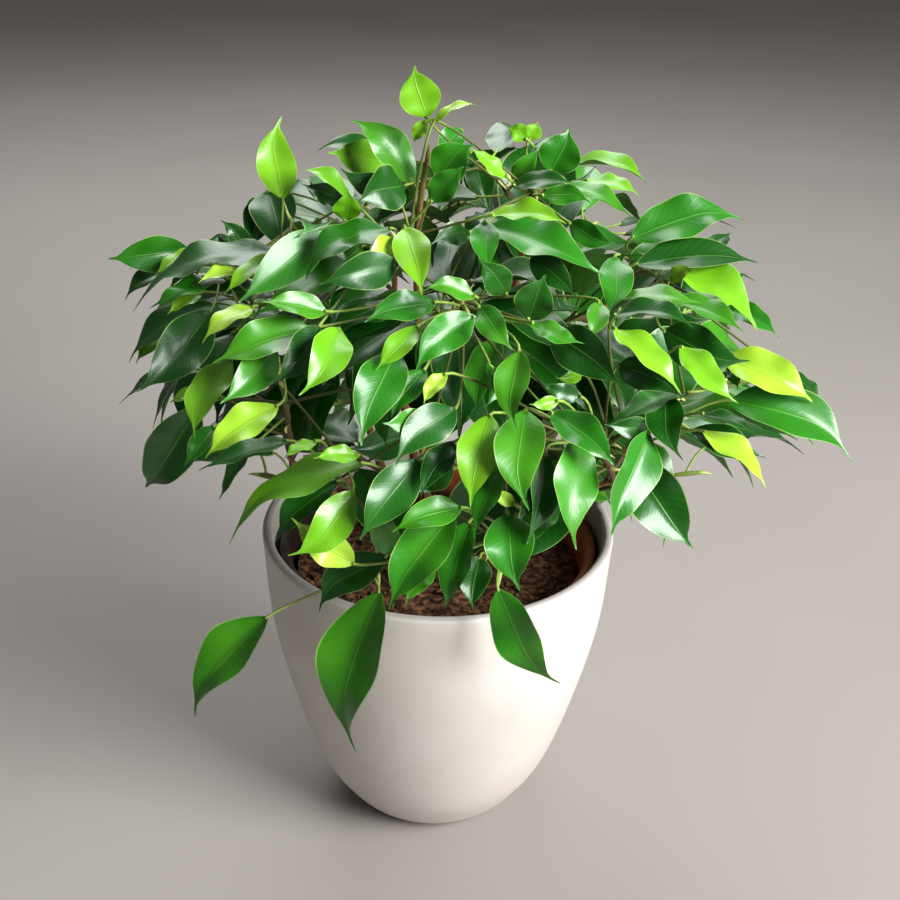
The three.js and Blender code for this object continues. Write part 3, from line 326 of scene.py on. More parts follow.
def drain_cutter(number):
    """A short upright rod through the floor of the nursery pot."""
    turn = 2 * math.pi * number / DRAIN_COUNT
    low, high = LINER_BOTTOM - 3, LINER_BOTTOM + 3 * LINER_WALL
    rod = [(0, low), (DRAIN_RADIUS, low), (DRAIN_RADIUS, high), (0, high)]
    corners, faces = turned(rod, DRAIN_SIDES)
    corners = corners + (DRAIN_CIRCLE * math.cos(turn), DRAIN_CIRCLE * math.sin(turn), 0)
    return make_piece(f"drain_{number}", corners, faces, [])


drill(nursery_pot, [drain_cutter(number) for number in range(DRAIN_COUNT)])
nursery_pot.data.set_sharp_from_angle(angle=math.radians(40))

# Painted shade: the wall is painted dark brown low down, towards the soil, up to a greater height
# on the left side than on the right
plastic = Look("terracotta_plastic", {"IOR": 1.48})
plastic_dust = plastic.fade(plastic.noise(55.0, 5.0), 0.42, 0.7)
plastic_colour = plastic.blend(plastic_dust * 0.5, srgb(TERRACOTTA), srgb(TERRACOTTA_DARK))
plastic_place = plastic.place()
painted_shade_rise = plastic.part(plastic_place, "Z") + plastic.part(plastic_place, "X") * PAINTED_SHADE_TILT
# Share of the wall left unshaded by the painted shade, rising with height and towards the right
unshaded_share = plastic.fade(painted_shade_rise, PAINTED_SHADE_FOOT * MM, PAINTED_SHADE_TOP * MM)
plastic.feed(plastic.shader, {
    "Base Color": plastic.blend(unshaded_share, srgb(PAINTED_SHADE_BROWN), plastic_colour),
    "Roughness": 0.48 + plastic_dust * 0.22,
})
plastic.bump(plastic.noise(1400.0, 2.0), 0.00006, 0.6)
nursery_pot.data.materials.clear()
nursery_pot.data.materials.append(plastic.material)
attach(nursery_pot, "root")
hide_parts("nursery_pot")

# Potting soil
# Peat and composted bark, filled to a little below the rim and settled by watering: lumpy
# and dark, with paler chips in it and crumbs lying loose on it.
SOIL_TOP = 105.0
SOIL_LUMP = 1.5
SOIL_LOOSE = 2.5
SOIL_SIDES = 96
SOIL_STEPS = 44
SOIL_MIDDLE = 60.0
SOIL_EDGE = 3.0
LUMP_SIZES = [(21, 0.35), (13, 0.25), (8, 0.2), (5, 0.12), (3.2, 0.08)]
LUMP_WAVES = 3
LUMP_PEAK = 1.7
LUMP_SEED = 7
CRUMBS = 420
CRUMB_SIZES = (0.8, 2.3)
CRUMB_SIDES = 5
CRUMB_SLIM = 0.8
CRUMB_RINGS = np.array([[-0.4], [0.45]])
CRUMB_RISE = 0.25
LEAST_SQUASH = 0.45
SQUASH_CHANGE = 0.4
LEAST_UNEVEN = 0.75
UNEVEN_CHANGE = 0.5
CRUMB_SEED = 11
SOIL_DARK = (44, 28, 19)
SOIL_BROWN = (112, 76, 50)
SOIL_CHIP = (132, 98, 70)


def seeded(seed):
    """A repeatable stream of numbers between 0 and 1."""
    state = seed
    while True:
        state = (state + 0x6D2B79F5) & 0xFFFFFFFF
        mixed = ((state ^ (state >> 15)) * (state | 1)) & 0xFFFFFFFF
        mixed = (mixed + (mixed ^ (mixed >> 7)) * (mixed | 61)) & 0xFFFFFFFF ^ mixed
        yield (mixed ^ (mixed >> 14)) / 2 ** 32


def soil_lumps(x, y):
    """Height of the soil's lumps, from about -1 to 1: a sum of sine waves of several lengths,
    each length in a few directions."""
    height = np.zeros(np.broadcast(x, y).shape)
    chance = seeded(LUMP_SEED)
    for size, share in LUMP_SIZES:
        for _ in range(LUMP_WAVES):
            turn, start = 2 * math.pi * next(chance), 2 * math.pi * next(chance)
            along = x * math.cos(turn) + y * math.sin(turn)
            height += share / LUMP_PEAK * np.sin(2 * math.pi * along / size + start)
    return height


soil_slope = (LINER_UPPER_RADIUS - liner_foot) / (wall_top - LINER_BOTTOM)
soil_foot = LINER_BOTTOM + LINER_WALL + SEAT_GAP


def soil_radius(z):
    """Radius of the soil at a height: that of the pot's inside, less a small gap."""
    rise = z - LINER_BOTTOM - LINER_WALL
    return liner_foot - LINER_WALL - 1.5 * SEAT_GAP + soil_slope * rise


soil_edge = soil_radius(SOIL_TOP)
soil_profile = [(0, soil_foot)]
soil_profile += [(soil_radius(z), z) for z in (soil_foot, SOIL_MIDDLE, SOIL_TOP - SOIL_EDGE)]
soil_profile += [(soil_edge * part, SOIL_TOP) for part in np.linspace(0.985, 0.02, SOIL_STEPS)]
soil_corners, soil_faces = turned([*soil_profile, (0, SOIL_TOP)], SOIL_SIDES)
on_top = soil_corners[:, 2] > SOIL_TOP - 1
soil_height = SOIL_LUMP * soil_lumps(soil_corners[on_top, 0], soil_corners[on_top, 1])
soil_corners[on_top, 2] += SOIL_LOOSE + soil_height

crumb_chance = seeded(CRUMB_SEED)


def crumb():
    """Corners and faces of one loose crumb lying on the soil: two uneven rings between two
    points, squashed and turned."""
    away = (soil_edge - SOIL_EDGE) * math.sqrt(next(crumb_chance))
    turn = 2 * math.pi * next(crumb_chance)
    x, y = away * math.cos(turn), away * math.sin(turn)
    low, high = CRUMB_SIZES
    size = low + (high - low) * next(crumb_chance) ** 3
    squash = LEAST_SQUASH + SQUASH_CHANGE * next(crumb_chance)
    spin = math.pi * next(crumb_chance)
    around = spin + 2 * math.pi / CRUMB_SIDES * np.arange(CRUMB_SIDES)
    draws = [next(crumb_chance) for _ in range(2 * CRUMB_SIDES)]
    uneven = LEAST_UNEVEN + UNEVEN_CHANGE * np.array(draws).reshape(2, CRUMB_SIDES)
    rings = np.stack([
        x + size * uneven * np.cos(around) * CRUMB_SLIM,
        y + size * uneven * np.sin(around) * (0.5 + squash / 2),
        SOIL_TOP + size * squash * CRUMB_RINGS + 0 * around,
    ], axis=-1)
    rings[..., 2] += SOIL_LOOSE + SOIL_LUMP * float(soil_lumps(x, y)) + CRUMB_RISE * size
    middle = rings.mean(axis=(0, 1))
    return wrapped(rings, middle - (0, 0, size * squash), middle + (0, 0, size * squash))


def gathered(bodies):
    """Several bodies as one: their corners one after another, their faces counted on."""
    corners, faces, count = [], [], 0
    for body_corners, body_faces in bodies:
        corners.append(body_corners)
        faces += [[corner + count for corner in face] for face in body_faces]
        count += len(body_corners)
    return np.vstack(corners), faces


soil = Look("potting_mix", {"Specular IOR Level": 0.2})
soil_grain = soil.noise(420.0, 8.0)
soil_patch = soil.noise(70.0, 4.0)
soil_chip = soil.fade(soil.noise(160.0, 3.0), 0.6, 0.68)
soil_colour = soil.blend(soil.fade(soil_grain, 0.4, 0.68), srgb(SOIL_DARK), srgb(SOIL_BROWN))
soil_colour = soil.blend(soil_chip * 0.6, soil_colour, srgb(SOIL_CHIP))
soil.feed(soil.shader, {
    "Base Color": soil_colour,
    "Roughness": 0.82 + soil_patch * 0.18,
})
soil.bump(soil_grain, 0.0008, 1.0)
potting_soil = make_piece(
    "PottingSoil",
    *gathered([(soil_corners, soil_faces), *(crumb() for _ in range(CRUMBS))]),
    [soil.material],
    sharp=50,
)
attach(potting_soil, "root")
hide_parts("potting_soil")

# Woody stems
# Seven rooted cuttings, woody below: brown bark that turns orange-brown and then green
# upwards, ringed by old leaf scars and dotted with pale lenticels.
STEM_FOOT_RADIUS = 2.5
STEM_TOP_RADIUS = 1.4
STEM_FOOT_Z = 70.0
STEM_RINGS = 72
STEM_FOOT_RINGS = 5
STEM_ROUND = 12
STEM_SLIMMER = 0.84
STEM_TOP_SLIMMER = 0.28
STEM_END = (0.95, 0.8, 0.55, 0.2)
SCAR_SPACING = 13.0
SCAR_SHIFT = 4
SCAR_HEIGHT = 0.18
SCAR_BREADTH = 0.8
BARK = (122, 82, 50)
BARK_YOUNG = (168, 112, 60)
BARK_DARK = (70, 46, 30)
LENTICEL = (190, 158, 120)
BARK_TIP = (128, 112, 58)
YOUNG_FROM = 110.0
YOUNG_TO = 200.0
TIP_TO = 270.0
STEMS = [
    [(-3, 8, 106), (-6, 6, 150), (-9, 2, 205), (-9.5, 0, 245), (-6, 0, 274)],
    [(-13, 9, 106), (-26, 22, 148), (-40, 24, 192), (-52, 10, 232)],
    [(14, 4, 106), (27, 4, 148), (44, 0, 190), (59, -2, 220), (78, 0, 240)],
    [(5, 18, 106), (14, 22, 150), (22, 16, 196), (27, 4, 232), (28, 0, 262)],
    [(-8, -12, 106), (-20, -26, 138), (-38, -48, 166), (-50, -62, 186)],
    [(10, -13, 106), (22, -28, 138), (40, -50, 166), (60, -64, 182)],
    [(-4, 30, 106), (-14, 46, 148), (-20, 66, 186), (-20, 82, 214)],
]


def tube(points, radius, sides):
    """A round tube along points: rings square to the line, carried on without twisting."""
    points = np.asarray(points, float)
    ahead = np.gradient(points, axis=0)
    ahead /= np.linalg.norm(ahead, axis=1, keepdims=True)
    across = np.array([1.0, 0.0, 0.0]) if abs(ahead[0, 0]) < 0.9 else np.array([0.0, 1.0, 0.0])
    turn = 2 * math.pi * np.arange(sides)[:, None] / sides
    rings = np.empty((len(points), sides, 3))
    for row, along in enumerate(ahead):
        across = across - along * (across @ along)
        across /= math.sqrt(across @ across)
        beside = np.cross(along, across)
        rings[row] = points[row] + radius[row] * (across * np.cos(turn) + beside * np.sin(turn))
    return wrapped(rings, points[0], points[-1])


bark = Look("fig_bark", {"Specular IOR Level": 0.3})
bark_place = bark.place()
bark_streak = bark.node("ShaderNodeTexNoise", {}, {
    "Vector": bark.node("ShaderNodeMapping", {}, {"Vector": bark_place, "Scale": (1.0, 1.0, 0.12)}),
    "Scale": 900.0,
    "Detail": 4.0,
})
bark_rise = bark.part(bark_place, "Z")
bark_dots = bark.node("ShaderNodeTexVoronoi", {}, {
    "Vector": bark_place, "Scale": 420.0}, "Distance")
young = bark.fade(bark_rise, YOUNG_FROM * MM, YOUNG_TO * MM)
green = bark.fade(bark_rise, YOUNG_TO * MM, TIP_TO * MM)
bark_colour = bark.blend(young, srgb(BARK), srgb(BARK_YOUNG))
bark_colour = bark.blend(green, bark_colour, srgb(BARK_TIP))
bark_colour = bark.blend(bark.fade(bark_streak, 0.35, 0.7) * 0.55, bark_colour, srgb(BARK_DARK))
bark_colour = bark.blend((1 - bark.fade(bark_dots, 0.12, 0.22)) * 0.6, bark_colour, srgb(LENTICEL))
bark.feed(bark.shader, {
    "Base Color": bark_colour,
    "Roughness": 0.62 + bark_streak * 0.25,
})
bark.bump(bark_streak, 0.0002, 0.8)

for number, bends in enumerate(STEMS):
    above = smooth_through(bends, np.linspace(0, 1, STEM_RINGS))
    below = np.linspace((*bends[0][:2], STEM_FOOT_Z), above[0], STEM_FOOT_RINGS + 1)[:-1]
    line = np.vstack([below, above])
    share = np.linspace(0, 1, len(line))
    walked = np.concatenate([[0], np.cumsum(np.linalg.norm(np.diff(line, axis=0), axis=1))])
    past_scar = (walked + SCAR_SHIFT * number) % SCAR_SPACING - SCAR_SPACING / 2
    scar = np.exp(-past_scar ** 2 / SCAR_BREADTH)
    thickness = STEM_FOOT_RADIUS + (STEM_TOP_RADIUS - STEM_FOOT_RADIUS) * share
    thickness = thickness * (STEM_SLIMMER - STEM_TOP_SLIMMER * share ** 2) + SCAR_HEIGHT * scar
    thickness[-len(STEM_END):] *= STEM_END
    stem = make_piece(f"Stem{number + 1}", *tube(line, thickness, STEM_ROUND), [bark.material], 60)
    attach(stem, "root")
    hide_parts(f"stem_{number + 1}")

# View of the plant
# A plant has no drawing, so its leaves are laid out along the lines of sight of one view of
# it, 900 units square, from a little above its front. The camera stands at the same place.
EYE = np.array([0.0, -437.4, 384.4])
LOOK_AT = np.array([3.8, 0.0, 157.8])
LEAN = math.radians(1.62)
FOCAL = 1300.0
VIEW_SIZE = 900.0
VIEW_CENTRE = VIEW_SIZE / 2
SENSOR = 36.0
UP = np.array([0.0, 0.0, 1.0])


def unit(vector):
    """The vector at length 1."""
    return vector / math.sqrt(vector @ vector)


def cross(a, b):
    """Cross product over the last axis."""
    return np.stack([
        a[..., 1] * b[..., 2] - a[..., 2] * b[..., 1],
        a[..., 2] * b[..., 0] - a[..., 0] * b[..., 2],
        a[..., 0] * b[..., 1] - a[..., 1] * b[..., 0],
    ], axis=-1)


def placed_at(place, right, up):
    """The matrix of a camera or lamp at a place, which looks away from right x up."""
    axes = np.stack([right, up, cross(right, up), place], axis=-1)
    return Matrix([*axes.tolist(), (0, 0, 0, 1)])


VIEW_AHEAD = unit(LOOK_AT - EYE)
level = unit(cross(VIEW_AHEAD, UP))
VIEW_RIGHT = level * math.cos(LEAN) - cross(VIEW_AHEAD, level) * math.sin(LEAN)
VIEW_UP = cross(VIEW_RIGHT, VIEW_AHEAD)

lens = bpy.data.cameras.new("Camera")
lens.sensor_width = SENSOR
lens.lens = FOCAL / VIEW_SIZE * SENSOR
lens.clip_start, lens.clip_end = 0.01, 50.0
camera = bpy.data.objects.new("Camera", lens)
bpy.context.scene.collection.objects.link(camera)
camera.matrix_world = placed_at(EYE * MM, VIEW_RIGHT, VIEW_UP)
bpy.context.scene.camera = camera

# Layout of the crown
# The plant is a clump of seven rooted cuttings. Green shoots rise from their woody stems,
# arch over and carry the leaves, one to a bud. Each leaf seen from the front is placed
# along its line of sight, the hidden ones fill the crown, and none passes through another.
CROWN_CENTRE = np.array([18.0, 0.0, 185.0])
CROWN_RADII = np.array([142.0, 128.0, 95.0])
BASE_SHELL = 0.86
TIP_SHELL = 1.0
SHOOT_COUNT = 48
BACK_ENDS = 90
BACK_SHELL = 0.8
INNER_SHELL = 0.5
SHOOT_SIDES = 4
SHOOT_ROOT_RADIUS = 1.6
SHOOT_TIP_RADIUS = 1.0
SHOOT_CLEARANCE = 0.7
LEAF_KEEL = 0.7
PETIOLE_RADIUS = 0.75
PETIOLE_ROOT_RADIUS = 0.5
LEAF_ASPECT = 0.42
LEAF_FOLD = 0.22
LEAF_CLEARANCE = 0.6
BLADE_SWELL = 0.85
BLADE_TAPER = 1.25
TWIST_CENTRE = 0.4
MOST_TWIST = 0.4
LEAST_ARCH = 0.05
ARCH_CHANGE = 0.07
SEEN_STATIONS = (0.2, 0.45, 0.75)
UNSEEN_STATIONS = (0.28, 0.64)
UNSEEN_LEAVES = 165
LONGEST_PETIOLE = 52.0
SHORTEST_LEAF = 38.0
LONGEST_LEAF = 56.0
DARK, MID, YOUNG, PALE = 0.0, 1.0, 2.0, 3.0
AGE_SHELL = {DARK: 0.95, MID: 0.98, YOUNG: 1.0, PALE: 1.0}
POT_REACH = 1.5
LINER_REACH = 4
SOIL_REACH = 3
NEARLY_FLAT = 1e-9
MOST_TRIANGLES = 20000


def length_of(vector):
    """Length of a vector."""
    return math.sqrt(vector @ vector)


def square_to(vector, direction):
    """The part of a vector square to a unit direction, at length 1."""
    return unit(vector - direction * (vector @ direction))


def sight_line(point):
    """Direction from the eye through a point of the view."""
    x, y = point
    across = VIEW_RIGHT * (x - VIEW_CENTRE) + VIEW_UP * (VIEW_CENTRE - y)
    return unit(VIEW_AHEAD * FOCAL + across)


def seen_at(point):
    """Where a point of the model is seen in the view."""
    offset = point - EYE
    scale = FOCAL / (offset @ VIEW_AHEAD)
    return VIEW_CENTRE + scale * (offset @ VIEW_RIGHT), VIEW_CENTRE - scale * (offset @ VIEW_UP)


def shell_distance(direction, size):
    """Distance along a line of sight to the crown's ellipsoid at one size."""
    start = (EYE - CROWN_CENTRE) / (CROWN_RADII * size)
    along = direction / (CROWN_RADII * size)
    a, b, c = along @ along, start @ along, start @ start - 1
    return (-b - math.sqrt(max(b * b - a * c, 0))) / a


def blade_width(t):
    """Width of a blade along its length, 1 at its widest: t to the power of its swell, by
    1 - t to the power of its taper."""
    widest = BLADE_SWELL / (BLADE_SWELL + BLADE_TAPER)
    most = widest ** BLADE_SWELL * (1 - widest) ** BLADE_TAPER
    return t ** BLADE_SWELL * (1 - t) ** BLADE_TAPER / most


def blade_frame(leaf, t):
    """Centre line of a blade at t, its side and its upper side: a chord lifted by its arch."""
    axis = leaf["tip"] - leaf["base"]
    lift = leaf["normal"] * (4 * leaf["arch"] * t * (1 - t))
    along = unit(axis + leaf["normal"] * (4 * leaf["arch"] * (1 - 2 * t)))
    level = unit(cross(axis, leaf["normal"]))
    turn = leaf["twist"] * (t - TWIST_CENTRE)
    side = level * math.cos(turn) + cross(level, along) * math.sin(turn)
    return leaf["base"] + axis * t + lift, along, side, cross(side, along)


def keeled(point, side, upper, half, lift, drop):
    """Section of a blade or petiole: left edge, right edge and keel."""
    return np.array([
        point - side * half + upper * lift,
        point + side * half + upper * lift,
        point - upper * drop,
    ])


def roomy(point, side, upper, half, lift, drop):
    """Section that holds the keeled one with room to spare all round."""
    room = LEAF_CLEARANCE
    return np.array([
        point - side * (half + room) + upper * lift,
        point + upper * (lift + room),
        point + side * (half + room) + upper * lift,
        point - upper * (drop + room),
    ])


def loft_faces(rows, sides, pointed):
    """Corners of the triangles of a closed body through rows of sections."""
    faces = [(0, k + 1, k) for k in range(1, sides - 1)]
    for row in range(rows - 1):
        for k in range(sides):
            a = row * sides + k
            b = row * sides + (k + 1) % sides
            c, d = a + sides, b + sides
            faces += [(a, b, d), (a, d, c)] if k < sides / 2 else [(a, b, c), (b, d, c)]
    last = (rows - 1) * sides
    if pointed:
        faces += [(last + k, last + (k + 1) % sides, last + sides) for k in range(sides)]
    else:
        faces += [(last, last + k, last + k + 1) for k in range(1, sides - 1)]
    return np.array(faces)


def loft(sections, point=None):
    """Triangles through a row of sections, ended by a flat cap or by a single point. Their
    corners are rounded to single precision, as a solid's are."""
    corners = np.concatenate(sections if point is None else [*sections, point[None]])
    faces = loft_faces(len(sections), len(sections[0]), point is not None)
    return corners.astype(np.float32).astype(float)[faces]


def rod_sections(points, foot_radius, top_radius, sides):
    """Rings along a row of points, their radius changing evenly from end to end."""
    across = np.array([1.0, 0.0, 0.0])
    turn = 2 * math.pi * np.arange(sides)[:, None] / sides
    rings = []
    for row, point in enumerate(points):
        ahead = points[min(row + 1, len(points) - 1)]
        along = unit(ahead - points[max(row - 1, 0)])
        across = unit(across - along * (across @ along))
        radius = foot_radius + (top_radius - foot_radius) * row / (len(points) - 1)
        ring = across * np.cos(turn) + cross(along, across) * np.sin(turn)
        rings.append(point + radius * ring)
    return rings


def leaf_body(leaf, section=keeled, start=0.0):
    """Triangles of a leaf: its petiole from the root in the shoot, then its blade."""
    root = leaf["root"] + (leaf["base"] - leaf["root"]) * start
    _, along, side, _ = blade_frame(leaf, 0)
    reach = unit(leaf["base"] - leaf["root"])

    def rod(point, direction, radius):
        across = square_to(side, direction)
        return section(point, across, cross(across, direction), radius, radius / 2, radius)

    sections = [
        rod(root, reach, PETIOLE_ROOT_RADIUS),
        rod(leaf["base"], unit(reach + along), PETIOLE_RADIUS),
    ]
    for t in leaf["stations"]:
        point, _, across, upper = blade_frame(leaf, t)
        half = leaf["width"] * blade_width(t) / 2
        lift = LEAF_FOLD * half / 2
        sections.append(section(point, across, upper, half, lift, max(lift, LEAF_KEEL)))
    return loft(sections, leaf["tip"])


def pierced(first, second):
    """Whether an edge of a triangle in first passes through a triangle in second."""
    start = first.reshape(-1, 1, 3)
    edge = first[:, [1, 2, 0]].reshape(-1, 1, 3) - start
    one = second[None, :, 1] - second[None, :, 0]
    two = second[None, :, 2] - second[None, :, 0]
    offset = start - second[None, :, 0]
    p = cross(edge, two)
    q = cross(offset, one)
    det = (one * p).sum(-1)
    flat = np.abs(det) < NEARLY_FLAT
    det = np.where(flat, 1.0, det)
    u = (offset * p).sum(-1) / det
    v = (edge * q).sum(-1) / det
    t = (two * q).sum(-1) / det
    return bool((~flat & (u >= 0) & (v >= 0) & (u + v <= 1) & (t >= 0) & (t <= 1)).any())


class Crown:
    """What already stands in the crown: triangles and the stem or shoot that they belong to."""

    def __init__(self):
        self.count = 0
        self.triangles = np.zeros((MOST_TRIANGLES, 3, 3))
        self.low = np.zeros((MOST_TRIANGLES, 3))
        self.high = np.zeros((MOST_TRIANGLES, 3))
        self.owner = np.zeros(MOST_TRIANGLES, int)

    def place(self, owner, body):
        """Adds a body's triangles."""
        rows = slice(self.count, self.count + len(body))
        self.triangles[rows] = body
        self.low[rows] = body.min(axis=1)
        self.high[rows] = body.max(axis=1)
        self.owner[rows] = owner
        self.count += len(body)

    def blocks(self, body, wanted):
        """Whether a body crosses a placed triangle whose owner wanted() picks."""
        rows = slice(0, self.count)
        low, high = body.min(axis=(0, 1)), body.max(axis=(0, 1))
        near = (self.low[rows] <= high).all(axis=1) & (self.high[rows] >= low).all(axis=1)
        near &= wanted(self.owner[rows])
        there = self.triangles[rows][near]
        return len(there) > 0 and (pierced(body, there) or pierced(there, body))


def meets_pots(body):
    """Whether a swollen body reaches into the pots or the soil."""
    corners = body.reshape(-1, 3)
    radius = np.hypot(corners[:, 0], corners[:, 1])
    z = corners[:, 2]
    wall = np.interp(z, POT_OUTLINE[:, 1], POT_OUTLINE[:, 0])
    in_wall = (radius < wall + POT_REACH) & (z < POT_HEIGHT + POT_REACH)
    over_soil = (radius < LINER_UPPER_RADIUS - LINER_REACH) & (z > SOIL_TOP + SOIL_REACH)
    return bool((in_wall & ~over_soil).any())


def is_inside(points, polygon):
    """Whether points of the view lie inside a closed outline: each then has an odd number
    of the outline's edges to its right."""
    x, y = np.moveaxis(np.atleast_2d(points)[..., None], -2, 0)
    ax, ay = np.transpose(polygon)
    bx, by = np.roll(ax, -1), np.roll(ay, -1)
    astride = (ay > y) != (by > y)
    rise = np.where(astride, by - ay, 1.0)
    return (astride & (x < ax + (bx - ax) * (y - ay) / rise)).sum(axis=-1) % 2 == 1


# Outline of the crown in the view
OUTLINE = [
    (106, 262), (150, 243), (238, 222), (262, 165), (275, 118), (300, 150), (330, 128),
    (375, 110), (405, 70), (435, 75), (472, 125), (520, 120), (575, 130), (602, 155),
    (645, 175), (652, 200), (700, 188), (745, 205), (755, 260), (770, 325), (818, 392),
    (856, 447), (770, 440), (765, 482), (698, 470), (690, 548), (610, 520), (590, 600),
    (450, 612), (330, 600), (262, 545), (222, 522), (142, 492), (148, 430), (120, 396),
    (128, 340),
]

